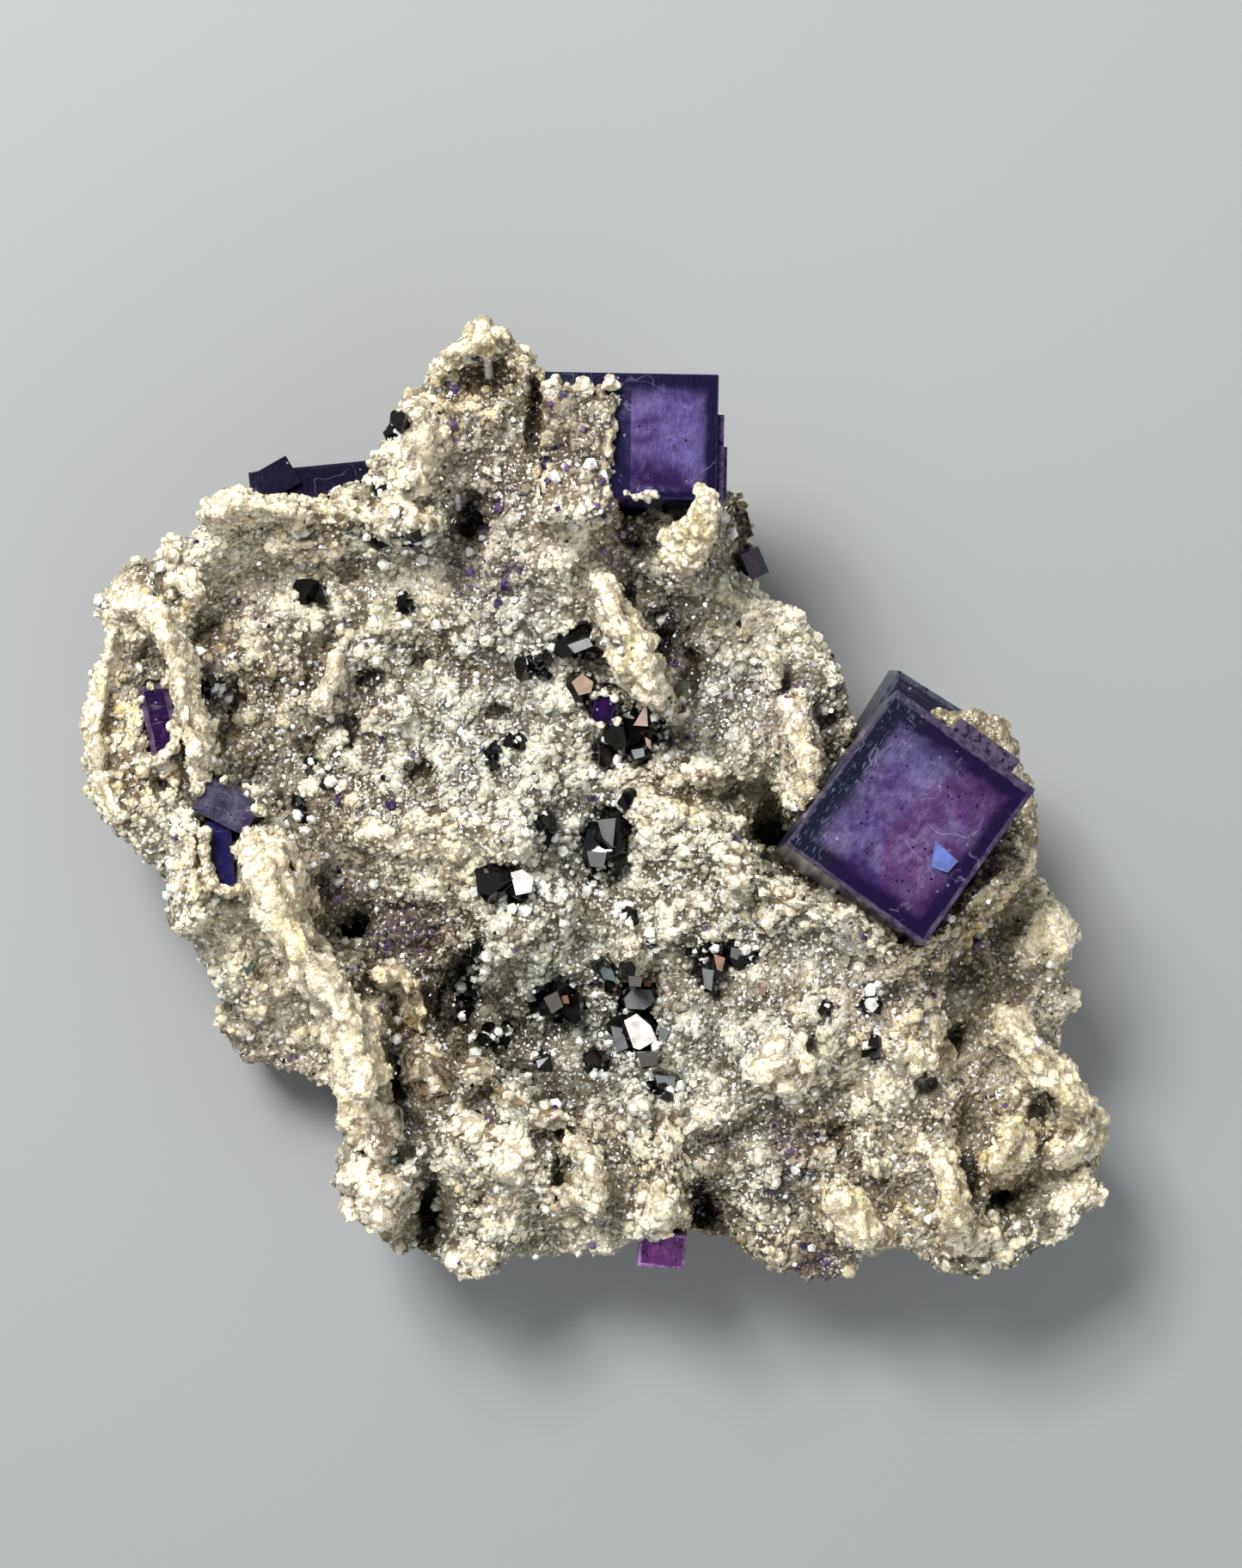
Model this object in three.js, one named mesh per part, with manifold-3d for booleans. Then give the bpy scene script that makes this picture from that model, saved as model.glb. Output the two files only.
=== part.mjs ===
// A zoned fluorite specimen: a rough plate of mica-crusted matrix with blades of rock standing on it,
// violet fluorite cubes, black sphalerite crystals in its hollows and two quartz needles.
// It lies on its broken back with the crystals up. Millimetres, +X to the right, +Y up the plate,
// +Z out of the crystal face, origin under the middle of the plate on the surface it lies on.
import * as THREE from "three";
import { ConvexHull } from "three/addons/math/ConvexHull.js";
import { mergeVertices } from "three/addons/utils/BufferGeometryUtils.js";
import Module from "manifold-3d";

// Driving dimensions
const plateWidth = 102;
const plateHeight = 96;
const rimLevel = 17; // height at which the plate is widest
const topLevel = 46; // above every crest
const backDepth = 3.4; // deepest hollow of the broken back
const reliefPitch = 2.9; // spacing of the loose points of the front face
const backPitch = 7;
const socketGap = 0.3; // clearance between a crystal and its socket
const restingPatch = { x: -1, y: -4, radius: 16 }; // the flat break under the middle
const outlineMiddle = [-1, -4];
const readFrom = { x: 2.5, y: 2.3, z: 278, level: 18 }; // the eye over the specimen as places were read

const wasm = await Module();
wasm.setup();

function latticeValue(i, j, k) {
  let h = Math.imul(i, 374761393) + Math.imul(j, 668265263) + Math.imul(k, 1274126177);
  h = Math.imul(h ^ (h >>> 13), 1274126177);
  return ((h ^ (h >>> 16)) >>> 0) / 2147483648 - 1;
}

// Smooth noise from -1 to 1, one swing about every "size" millimetres
function noise(x, y, z, size) {
  const p = [x / size, y / size, z / size];
  const cell = p.map(Math.floor);
  const [fx, fy, fz] = p.map((v, n) => {
    const f = v - cell[n];
    return f * f * (3 - 2 * f);
  });
  let sum = 0;
  for (let corner = 0; corner < 8; corner++) {
    const [a, b, c] = [corner & 1, (corner >> 1) & 1, corner >> 2];
    const weight = (a ? fx : 1 - fx) * (b ? fy : 1 - fy) * (c ? fz : 1 - fz);
    sum += weight * latticeValue(cell[0] + a, cell[1] + b, cell[2] + c);
  }
  return sum;
}

// Every [x, y] below was read at one level. This moves it along the line of sight to height z.
function raised([x, y], z) {
  const share = (readFrom.z - z) / (readFrom.z - readFrom.level);
  return [readFrom.x + (x - readFrom.x) * share, readFrom.y + (y - readFrom.y) * share];
}

// The plate's outline, anticlockwise from its top tower
const outline = [
  [-10.5, 47], [-12.6, 46.5], [-13.2, 45], [-15.2, 44], [-15.8, 41.5], [-18.2, 40.4],
  [-18.8, 37.5], [-21.4, 34.2], [-22, 31.5], [-24.8, 31], [-28, 29.8], [-33, 30.5],
  [-36.2, 31.2], [-38.2, 28.6], [-39.4, 25.8], [-41.6, 26.6], [-42.8, 24],
  [-45.6, 23.6], [-48.4, 20.2], [-47.4, 17.2], [-48.4, 13.2], [-49.2, 9], [-50.6, 5],
  [-49.2, 1.4], [-47.4, -1.4], [-44.4, -3.9], [-41.6, -6.2], [-41.4, -11.8],
  [-38.6, -14], [-37.4, -17], [-38.8, -23.2], [-36, -26.2], [-31.2, -27],
  [-26.8, -29.4], [-24.8, -32.2], [-25.6, -36.6], [-22.2, -40.6], [-18.6, -44],
  [-14.2, -43.6], [-13.2, -45.4], [-10.4, -45.8], [-8.8, -43.6], [-4.6, -44.8],
  [0, -43.4], [4.4, -42.8], [10.4, -42.8], [15.8, -44.2], [20.4, -46], [23, -47],
  [25, -46.4], [25.9, -43.8], [29.2, -42.6], [33, -44.4], [36.8, -45.6], [41.4, -44.6],
  [46, -42], [49.2, -37.6], [49.3, -34], [50.7, -32.2], [49.6, -29.4], [46.6, -27],
  [45.4, -22.4], [46.8, -18.8], [45.4, -15.4], [47.1, -11.7], [44.6, -8.4], [41.4, -4.6],
  [39.4, 3], [38.2, 7.4], [34.6, 7.2], [28.6, 5.8], [25.6, 8.6], [25, 11.6],
  [22.2, 15.2], [20.4, 18.6], [16.2, 21.4], [15.8, 26.6], [14.4, 30.2], [11.6, 31.4],
  [9.6, 36.6], [2.4, 40.6], [-5, 41.8], [-7, 44.4],
];

// Heights of the front face, [x, y, z], region by region. Blades and lumps stand on this relief.
const relief = {
  topTower: [
    [-11, 45, 24], [-14.3, 42.5, 23], [-7.7, 42.5, 22], [-11, 38.3, 27], [-16, 38.3, 25],
    [-18.5, 33.3, 27], [-11, 31.6, 26], [-6.8, 31.6, 25],
  ],
  coatedBlock: [[-4.3, 39, 25], [0.7, 39, 26], [-2.7, 33.3, 26], [0.7, 31.6, 28], [8, 36, 20]],
  upperMiddle: [
    [-12.2, 26.6, 18], [-7.7, 25, 24], [-2.7, 25, 27], [1.5, 25, 26], [3.4, 23.8, 24],
    [5.7, 24.6, 22], [9, 23, 22], [0.4, 29.6, 30], [3.6, 28.8, 28], [7, 29.2, 29], [13.2, 26.6, 15], [15, 23.3, 14],
  ],
  rightSlope: [
    [9.8, 20, 20], [14.8, 18.3, 21], [19, 17.5, 20], [6.8, 17.5, 17], [9, 12.5, 18],
    [14, 11.7, 20], [19.8, 12.5, 21], [24, 10, 18], [15.7, 5, 21], [22.3, 4.2, 17],
    [12.3, 8.3, 19],
  ],
  upperLeftRim: [[-36.8, 28.3, 25], [-31, 26.6, 24], [-24.3, 26.6, 24], [-17.7, 27.5, 25]],
  leftBasin: [
    [-32.7, 21.7, 19], [-26, 21.7, 19], [-19.3, 21.7, 20], [-14.3, 20, 21], [-36.8, 18.3, 18],
    [-36, 10, 15], [-30.2, 13.3, 18.5], [-24.3, 11.7, 18], [-18.5, 13.3, 18], [-12.7, 11.7, 19],
    [-30.2, 5, 17.5], [-24.3, 5.8, 17.5], [-18.5, 5.8, 18], [-12.7, 5, 19],
  ],
  middle: [
    [-7.7, 18.3, 21], [-3.5, 20, 21], [-7.7, 10, 19], [-2.7, 10, 19], [-6, 5, 19],
    [0.7, 5.8, 17], [5.7, 7.5, 18], [9, 6.7, 19],
  ],
  leftRim: [
    [-46, 20, 21], [-41.8, 20, 24], [-47.7, 13.3, 20], [-43.5, 13.3, 21], [-39.3, 13.3, 24],
    [-49.3, 5, 17], [-45.2, 5, 22], [-40.2, 4.2, 24], [-45.2, -0.8, 22], [-39.3, -0.8, 23],
    [-39.3, -7.5, 22], [-36.8, -11.7, 20], [-36, -15.8, 18], [-32.7, -18.3, 17], [-33.5, -5, 22],
  ],
  backLeftLedge: [[-37.7, -23.3, 9], [-32.7, -23.3, 10], [-28.5, -26.7, 11]],
  ridgesOfTheHollow: [
    [-29.3, -1.7, 13], [-26, -5, 14], [-26.8, -0.8, 15], [-22.7, -0.7, 19.5], [-19.4, -2.6, 21],
    [-15.7, 0.2, 20], [-12.7, -2.4, 22], [-7.7, -1.7, 21.5], [-21.8, -6.7, 14.5], [-16, -7.7, 18],
    [-11, -6, 20],
  ],
  trench: [
    [-24.3, -12.5, 9], [-19.3, -11.7, 13], [-14.3, -11.7, 16], [-9.3, -11.7, 19],
    [-4.3, -10, 19], [-17.7, -18.3, 9], [-12.7, -19.2, 7], [-9.3, -16.7, 12], [-6, -15, 18],
    [-11, -24.2, 8], [-6, -24.2, 10],
  ],
  blackCrystalHollow: [
    [-2.7, -18.3, 12], [0.7, -15, 15], [4, -17.5, 13], [0.7, -21.7, 13], [4, -24.2, 13],
    [7.3, -20.8, 17], [10.7, -17.5, 17], [-2.7, -3.3, 16], [0.7, -5.8, 13], [2.3, 0, 17],
    [5.7, -1.7, 21], [5.7, -9.2, 19], [10.7, -8.3, 22], [13.2, -3.3, 21], [15.7, 0.8, 16],
  ],
  underTheLargeCube: [
    [19, -3.3, 7], [25.5, -3, 23], [29, -0.8, 24], [33, 1, 22], [28.6, 3.6, 20], [36.5, 3.3, 17],
    [37, -3, 19], [33.6, -6.4, 24],
  ],
  rightMass: [
    [19.8, -10, 24], [25.7, -11.7, 25], [30.7, -15.8, 25], [17.3, -15, 22], [14, -15, 18],
    [21.5, -20, 24], [27.3, -21.7, 24], [32.3, -21.7, 23], [15.7, -23.3, 25], [19, -25.8, 24],
    [24, -26.7, 21], [29, -26.7, 22], [34.8, -15.8, 17], [34.8, -22.5, 18], [38.2, -18.3, 21],
    [42.3, -17.5, 21], [45.7, -19.2, 16], [38.2, -24.2, 18], [38.2, -9.2, 18],
    [41.5, -10, 20], [44.8, -11.7, 21],
  ],
  lowerRight: [
    [44, -30, 19], [39, -30.8, 18], [46.5, -36.7, 20], [40.7, -37.5, 17], [42.3, -41.7, 19],
    [36.5, -41.7, 21], [29.8, -36.7, 21], [32.3, -30, 22], [25.7, -32.5, 19], [22.3, -33.3, 18],
    [17.3, -32.5, 20], [12.3, -30, 20], [14, -38.3, 18], [17.3, -40.8, 17], [22.3, -44.2, 14],
    [19.8, -37.5, 17], [10.7, -40, 12], [27.3, -40, 21], [49.8, -32.5, 16],
  ],
  lowerRim: [
    [7.3, -28.3, 21], [2.3, -29.2, 19], [5.7, -36.7, 24], [0.7, -33.3, 21], [-0.2, -40, 19],
    [-4.3, -35.8, 21], [-4.3, -41.7, 14], [-7.7, -34.2, 23], [-11, -37.5, 21], [-11, -43.3, 18],
    [-16, -32.5, 23], [-16.8, -38.3, 12], [-21, -35.8, 23], [-21.8, -40, 20], [-24.3, -37.5, 19],
    [-19.3, -30, 13], [-17.7, -26.7, 13], [-12.7, -29.2, 20], [-7.7, -30.8, 23],
  ],
};

// Blades of rock that stand on the relief: places [x, y] along the crest, its height and its width
const blades = [
  {
    name: "great blade",
    crest: [[-33, -5.8], [-31.6, -9.2], [-30, -12.6], [-28, -15.2], [-25.6, -17.6], [-23.8, -21],
      [-22.8, -25], [-21.6, -29], [-21, -31.6]],
    top: 30,
    width: 5.6,
  },
  {
    name: "great blade head",
    crest: [[-34.6, -3.6], [-32.6, -2.4], [-30.4, -4], [-29, -6.2]],
    top: 29,
    width: 3.2,
  },
  {
    name: "great blade shoulder",
    crest: [[-30, -6.6], [-28.8, -8.6], [-27.4, -10.4]],
    top: 24,
    width: 2.4,
  },
  {
    name: "standing blade",
    crest: [[0.8, 22], [1.8, 19.2], [3.4, 16], [5, 12.6], [6.6, 9.6]],
    top: 31,
    width: 3.4,
  },
  {
    name: "blade by the large cube",
    crest: [[19.2, 9.6], [20.4, 6.6], [21, 3.4], [20.6, 0.6], [18.8, -0.8]],
    top: 29,
    width: 3,
  },
  {
    name: "thin blade",
    crest: [[17, 16.2], [17.7, 14.2], [17.6, 12.2]],
    top: 27,
    width: 1.8,
  },
  {
    name: "blade under the top cube",
    crest: [[10.9, 30.6], [10.6, 28], [9.2, 25.8], [8.2, 23.8]],
    top: 32,
    width: 3.1,
  },
  {
    name: "upper left rim",
    crest: [[-37, 28.4], [-34.6, 29.4], [-31, 28.8], [-27.4, 28.4], [-24.4, 29.2]],
    top: 28.5,
    width: 4,
  },
  {
    name: "upper left rim, right half",
    crest: [[-21.4, 27.2], [-18.6, 28.2], [-15.4, 27.6]],
    top: 29,
    width: 3.8,
  },
  {
    name: "tower flank",
    crest: [[-17.4, 38], [-18.6, 34.6], [-17.6, 31.2]],
    top: 31,
    width: 5.2,
  },
  {
    name: "tower crest",
    crest: [[-14.4, 43.4], [-11.8, 45.2], [-9, 44], [-6.6, 42]],
    top: 28.5,
    width: 3.2,
  },
  {
    name: "left inner wall",
    crest: [[-42.6, 20.4], [-42, 16.8], [-40.6, 13.4], [-39.8, 9.8], [-38.8, 6.2], [-38, 3.6]],
    top: 28.5,
    width: 3.2,
  },
  {
    name: "left inner wall, head",
    crest: [[-41.4, 24.6], [-41.4, 21.8], [-38.6, 20.6]],
    top: 27.5,
    width: 3.4,
  },
  {
    name: "left outer wall",
    crest: [[-46.6, 20.6], [-47, 16], [-47.6, 11], [-48.6, 6.4], [-46.6, 1.4], [-43.6, -1.6]],
    top: 24.5,
    width: 3.4,
  },
  {
    name: "left lower wall",
    crest: [[-40, -0.4], [-38.8, -4], [-39.2, -8], [-39.8, -11]],
    top: 26.5,
    width: 4,
  },
  {
    name: "small curl",
    crest: [[-20.4, -16.6], [-18.2, -17.6], [-17.4, -19.8], [-17, -21.6]],
    top: 21,
    width: 2,
  },
  {
    name: "lower ridge, left",
    crest: [[-17, -23.8], [-14.2, -25.4], [-12, -28.2]],
    top: 25.5,
    width: 3.4,
  },
  {
    name: "lower ridge, middle",
    crest: [[-12.2, -24.8], [-9.8, -27], [-7, -29], [-4.2, -29.6]],
    top: 26,
    width: 3.2,
  },
  {
    name: "lower block",
    crest: [[-3.2, -31.6], [-0.6, -33.6], [-0.4, -37.2], [0.2, -39.8]],
    top: 26,
    width: 3.2,
  },
  {
    name: "lower knob",
    crest: [[4, -28.8], [5.4, -32.4], [7.4, -36.2], [7.6, -39.4], [5.4, -41.4]],
    top: 28,
    width: 4.4,
  },
  {
    name: "bottom left mass",
    crest: [[-23.4, -36], [-20.8, -33.6], [-19.8, -37.4], [-21, -40]],
    top: 26.5,
    width: 4.6,
  },
  {
    name: "right blade",
    crest: [[40.2, -20.4], [41.8, -23.2], [43.4, -25.8], [45.6, -28], [47.6, -30]],
    top: 27,
    width: 3.2,
  },
  {
    name: "right blade, lower",
    crest: [[42.6, -34.2], [45, -32.8], [47.8, -32]],
    top: 24.5,
    width: 3.2,
  },
  {
    name: "right spur",
    crest: [[41, -30], [39.8, -32.6], [38.2, -35.6], [36.8, -37.8]],
    top: 25,
    width: 2.6,
  },
  {
    name: "right rib",
    crest: [[33.4, -33.4], [34.6, -36.6], [34.6, -39.8], [33, -42]],
    top: 26.5,
    width: 2.8,
  },
  {
    name: "lower right foot",
    crest: [[36.6, -38.4], [37.6, -40.6], [36.6, -43]],
    top: 24,
    width: 3.4,
  },
  {
    name: "lower boss",
    crest: [[23.4, -37.2], [24.4, -40], [25.8, -42]],
    top: 26,
    width: 4,
  },
  {
    name: "knuckle",
    crest: [[26.4, -31.2], [26.8, -34.2], [27.4, -36]],
    top: 25.4,
    width: 3.4,
  },
  {
    name: "right rim knob",
    crest: [[44.2, -10.8], [45.4, -12.4], [44.4, -14.8]],
    top: 25,
    width: 3.4,
  },
  {
    name: "basin ridge",
    crest: [[-24.6, 14.6], [-25.6, 12], [-26.2, 9.6]],
    top: 22.5,
    width: 2.6,
  },
  {
    name: "basin ledge",
    crest: [[-21.6, 9.2], [-19.4, 9.8], [-17, 9]],
    top: 21.6,
    width: 2.6,
  },
  {
    name: "middle knob",
    crest: [[9.4, 4.2], [11.2, 3.2], [12.4, 2]],
    top: 24,
    width: 2.8,
  },
  {
    name: "knob by the pocket",
    crest: [[11.6, -4], [13.4, -5.8], [14.6, -7.4]],
    top: 26,
    width: 3.4,
  },
  {
    name: "pocket lip",
    crest: [[17.4, -8.4], [20.4, -9.2], [24.6, -8.6]],
    top: 27,
    width: 3.4,
  },
  {
    name: "greenish swell",
    crest: [[-4, 31], [-2.6, 28], [-2.4, 24.6], [-1.4, 22]],
    top: 28,
    width: 5,
  },
  {
    name: "hollow rib",
    crest: [[-10.2, -15.4], [-10.8, -18.4], [-11.6, -21]],
    top: 18,
    width: 3.2,
  },
  {
    name: "hollow finger",
    crest: [[3.4, -11.4], [3.8, -14], [3.4, -16]],
    top: 22,
    width: 2.8,
  },
];

// Ledges: flat-topped slabs of crust that end in a step, [x, y] round their edge. The first one covers
// the left half of the top fluorite.
const ledges = [
  { name: "coated block", edge: [[-6, 27.6], [2.4, 28.2], [2.4, 41.9], [-5.2, 41.9]], top: 34.5 },
  {
    name: "upper left shelf",
    edge: [[-38.6, 26.4], [-30, 25.8], [-22.4, 26], [-22.8, 30.2], [-37.6, 30.4]],
    top: 25.6,
  },
  {
    name: "shelf over the great hollow",
    edge: [[2.6, -28.4], [9.6, -26.6], [15.4, -26.2], [16.8, -29.2], [9, -31.6], [3.4, -31.4]],
    top: 23,
  },
  {
    name: "right shoulder",
    edge: [[24.4, -8.4], [29.4, -10.2], [33.4, -13.6], [30.6, -17.4], [25.2, -14.2], [21.8, -11]],
    top: 26.4,
  },
];

// Rounded lumps of crust, [x, y, radius]
const lumps = [
  [-20.8, 26.4, 2.2], [-36, 24, 2], [-31.4, 18.6, 1.8], [-26, 23.4, 1.8], [-27.4, 19.8, 1.6],
  [-33.6, 14.2, 1.6], [-30.6, 14.2, 1.8], [-34.2, 7, 2], [-17, 6.4, 1.6], [-12.6, 4.6, 1.8],
  [-28, 0.6, 2.4], [-24.8, -2.4, 2.2], [-8.4, -2.8, 2.4], [-4.4, 1.2, 2], [-3.8, 17.2, 1.8],
  [0.4, 17, 2.4], [-8.6, 23, 1.8], [-8.6, 27.4, 1.8], [12.6, 22, 2], [16, 20.8, 2.2],
  [19, 17, 2.4], [24, 12.6, 2.6], [20.8, 11.4, 2.4], [14.8, 6.6, 2.6], [16.6, -1.2, 2.4],
  [-2.4, -8.4, 2], [-6.6, -9, 2.2], [-8.2, -12.6, 2.2], [10.2, -12.6, 2], [14.6, -12.4, 2.4],
  [16.8, -24.2, 3.4], [28.8, -22.4, 3], [31, -24, 2.6], [33.4, -17.6, 2.4], [36.8, -14.4, 2.4],
  [40.6, -15.6, 2.6], [38, -22.4, 1.8], [40.8, -27, 1.8], [20.8, -19, 2], [23, -23.2, 2.2],
  [12.6, -34.8, 2.4], [15.8, -36.8, 2.6], [20, -30, 2.4], [18.4, -44.2, 2], [23.4, -45, 2.2],
  [28.6, -29.4, 2], [30.4, -34, 2.2], [30, -41.6, 2.4], [40.4, -42, 2.4], [45.6, -38.8, 2.4],
  [48.4, -34.6, 2], [46.6, -24, 1.8], [45.8, -18.4, 2], [-13.4, -32, 2.4], [-9.6, -33.8, 2.6],
  [-6.4, -33.4, 2.2], [-11, -43.4, 2.6], [-6.6, -41.4, 2.4], [-15.2, -42, 2.2], [-24, -33.4, 2.2],
  [-31, -26, 2], [-37, -22.6, 2.2], [-33.4, -16, 2], [-36, -9.8, 2], [-42, -3.2, 2.4],
  [-44, 8, 2.2], [-44.4, 3.2, 2.4], [40, 6.4, 2.2], [37, 7, 2.2], [41, -4.4, 2.4],
  [13.6, 29.6, 2.4], [15, 25.2, 2], [1.6, 40.4, 1.6], [-3.6, 38.6, 1.8], [-1, 33.4, 1.6],
];

// Pits, [x, y, radius, level of the floor]
const pits = [
  [17, -1.6, 2.6, 8], [20.4, -6, 3, 7], [-24.6, -12, 2.6, 7], [-12, -19.6, 2.8, 6], [-8.4, -22.6, 2.6, 7],
  [-17, -38.4, 1.8, 10], [-19.6, -27.2, 1.8, 10], [-12.8, 27.4, 1.3, 13], [34.8, -22.4, 1.8, 15],
  [40.4, -38, 2, 14], [37, -32.4, 1.6, 15], [-35.4, 11, 1.8, 11], [10.4, -40.2, 2.2, 11],
];

// The front face as a height over (x, y): relief, then lumps, blades and ledges on it, then pits in it
const reliefPlaces = Object.values(relief)
  .flat()
  .map(([x, y, z]) => [...raised([x, y], z), z]);

function reliefHeight(x, y) {
  let sum = 0;
  let total = 0;
  for (const [px, py, pz] of reliefPlaces) {
    const square = (x - px) ** 2 + (y - py) ** 2;
    const weight = 1 / (square + 1.2) ** 2;
    sum += weight * pz;
    total += weight;
  }
  return sum / total + 1.1 * noise(x, y, 3, 4.2) + 0.6 * noise(x, y, 9, 2.4);
}

// A blade's stations along its crest, lower and thinner at its two ends
function stationsOf({ crest, top, width }, spacing) {
  const places = crest.map((place) => new THREE.Vector3(...raised(place, top), 0));
  const curve = new THREE.CatmullRomCurve3(places);
  const count = Math.max(3, Math.round(curve.getLength() / spacing) + 1);
  return Array.from({ length: count }, (_, i) => {
    const along = i / (count - 1);
    const { x, y } = curve.getPointAt(along);
    const end = Math.min(along, 1 - along) * curve.getLength() < 0.4 * spacing;
    return {
      x,
      y,
      heading: curve.getTangentAt(along),
      top: top - (end ? 2.4 : 0) + 1.1 * noise(x, y, 5, 3.4),
      width: width * (end ? 0.6 : 1 + 0.22 * noise(x, y, 15, 3)),
    };
  });
}

const bladeStations = blades.map((blade) => stationsOf(blade, 0.9));

function bladeHeight(x, y, ground) {
  let height = ground;
  for (const stations of bladeStations) {
    for (const station of stations) {
      const away = Math.hypot(x - station.x, y - station.y) / station.width;
      if (away > 0.72) continue;
      const steep = 1 - THREE.MathUtils.smoothstep(away, 0.08, 0.72);
      height = Math.max(height, ground + (station.top - ground) * steep);
    }
  }
  return height;
}

function lumpHeight(x, y, ground) {
  let height = ground;
  for (const [lumpX, lumpY, radius] of lumps) {
    const away = Math.hypot(x - lumpX, y - lumpY) / radius;
    if (away < 1) height = Math.max(height, ground + 0.85 * radius * Math.sqrt(1 - away * away));
  }
  return height;
}

const ledgeEdges = ledges.map(({ edge, top }) => edge.map((place) => raised(place, top)));

function insideEdge(x, y, edge) {
  let inside = false;
  edge.forEach(([ax, ay], n) => {
    const [bx, by] = edge[(n + 1) % edge.length];
    if (ay > y !== by > y && x < ax + ((y - ay) / (by - ay)) * (bx - ax)) inside = !inside;
  });
  return inside;
}

function frontHeight(x, y) {
  const ground = reliefHeight(x, y);
  let height = Math.max(bladeHeight(x, y, ground), lumpHeight(x, y, ground));
  ledges.forEach(({ top }, n) => {
    if (insideEdge(x, y, ledgeEdges[n])) height = Math.max(height, top + 0.6 * noise(x, y, 21, 2.6));
  });
  for (const [pitX, pitY, radius, floor] of pits) {
    const away = Math.hypot(x - pitX, y - pitY) / radius;
    if (away < 1) height = Math.min(height, floor + (height - floor) * away ** 3);
  }
  return height;
}

function backHeight(x, y) {
  const toPatch = Math.hypot(x - restingPatch.x, y - restingPatch.y) - restingPatch.radius;
  const rough = 0.5 + 0.75 * noise(x, y, 30, 15) + 0.35 * noise(x, y, 40, 7);
  return Math.max(0, backDepth * rough * THREE.MathUtils.smoothstep(toPatch, 0, 12));
}

// Solids from three.js geometry, and back
function solidOf(geometry) {
  const bare = geometry.index ? geometry.toNonIndexed() : geometry.clone();
  bare.deleteAttribute("normal");
  bare.deleteAttribute("uv");
  const merged = mergeVertices(bare, 1e-4);
  return new wasm.Manifold(
    new wasm.Mesh({
      numProp: 3,
      vertProperties: new Float32Array(merged.attributes.position.array),
      triVerts: new Uint32Array(merged.index.array),
    }),
  );
}

function geometryOf(solid) {
  const mesh = solid.getMesh();
  const count = mesh.vertProperties.length / mesh.numProp;
  const positions = new Float32Array(count * 3);
  for (let i = 0; i < count; i++) {
    for (let k = 0; k < 3; k++) positions[3 * i + k] = mesh.vertProperties[mesh.numProp * i + k];
  }
  const geometry = new THREE.BufferGeometry();
  geometry.setAttribute("position", new THREE.BufferAttribute(positions, 3));
  geometry.setIndex(new THREE.BufferAttribute(new Uint32Array(mesh.triVerts), 1));
  geometry.computeVertexNormals();
  return geometry;
}

function geometryFrom(points, faces) {
  const geometry = new THREE.BufferGeometry();
  geometry.setAttribute("position", new THREE.Float32BufferAttribute(points.flat(), 3));
  geometry.setIndex(faces.flat());
  return geometry;
}

function joinAll(solids) {
  return solids.reduce((whole, next) => whole.add(next));
}

// Places in the plane for the vertices of a face: those asked for first, then loose ones on a grid
// "pitch" apart, and a straight border round them
function scatter(wanted, pitch, clearance) {
  const halfX = plateWidth / 2 + 5;
  const halfY = plateHeight / 2 + 5;
  const places = [];
  const add = (x, y, room) => {
    if (Math.abs(x) > halfX - 1 || Math.abs(y) > halfY - 1) return;
    if (places.some(([px, py]) => Math.hypot(x - px, y - py) < room)) return;
    places.push([x, y]);
  };
  for (const [x, y] of wanted) add(x, y, 0.45);
  for (let y = -halfY; y < halfY; y += pitch) {
    for (let x = -halfX; x < halfX; x += pitch) {
      const looseX = x + 0.32 * pitch * noise(x, y, 50, 1.7);
      const looseY = y + 0.32 * pitch * noise(x, y, 60, 1.7);
      add(looseX, looseY, clearance);
    }
  }
  const inner = places.length;
  const steps = 8;
  for (let n = 0; n < steps; n++) {
    const along = (2 * n) / steps - 1;
    places.push([along * halfX, -halfY], [halfX, along * halfY]);
    places.push([-along * halfX, halfY], [-halfX, -along * halfY]);
  }
  return { places, inner };
}

// Delaunay triangles of places in the plane: the underside of their hull, lifted onto a paraboloid
function delaunay(places) {
  const lifted = places.map(([x, y]) => new THREE.Vector3(x, y, (x * x + y * y) / 100));
  const number = new Map(lifted.map((point, n) => [point, n]));
  const hull = new ConvexHull().setFromPoints(lifted);
  const triangles = [];
  for (const face of hull.faces) {
    if (face.normal.z > -1e-6) continue;
    const edges = [face.edge, face.edge.next, face.edge.prev];
    triangles.push(edges.map((edge) => number.get(edge.head().point)).reverse());
  }
  return triangles;
}

// A block with one face shaped by height(x, y) over the places and the opposite one flat
function faceBlock(height, { places, inner }, flatLevel) {
  const points = places.map(([x, y]) => [x, y, height(x, y)]);
  const faces = delaunay(places);
  const rim = places
    .map((_, n) => n)
    .slice(inner)
    .sort((a, b) => Math.atan2(places[a][1], places[a][0]) - Math.atan2(places[b][1], places[b][0]));
  const lower = points.length;
  for (const n of rim) points.push([places[n][0], places[n][1], flatLevel]);
  const middle = points.length;
  points.push([0, 0, flatLevel]);
  rim.forEach((n, k) => {
    const next = (k + 1) % rim.length;
    faces.push([n, lower + k, lower + next], [n, lower + next, rim[next]]);
    faces.push([lower + k, middle, lower + next]);
  });
  return outwards(points, faces);
}

function outwards(points, faces) {
  const solid = solidOf(geometryFrom(points, faces));
  if (solid.volume() > 0) return solid;
  const turned = faces.map(([a, b, c]) => [a, c, b]);
  return solidOf(geometryFrom(points, turned));
}

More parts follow.
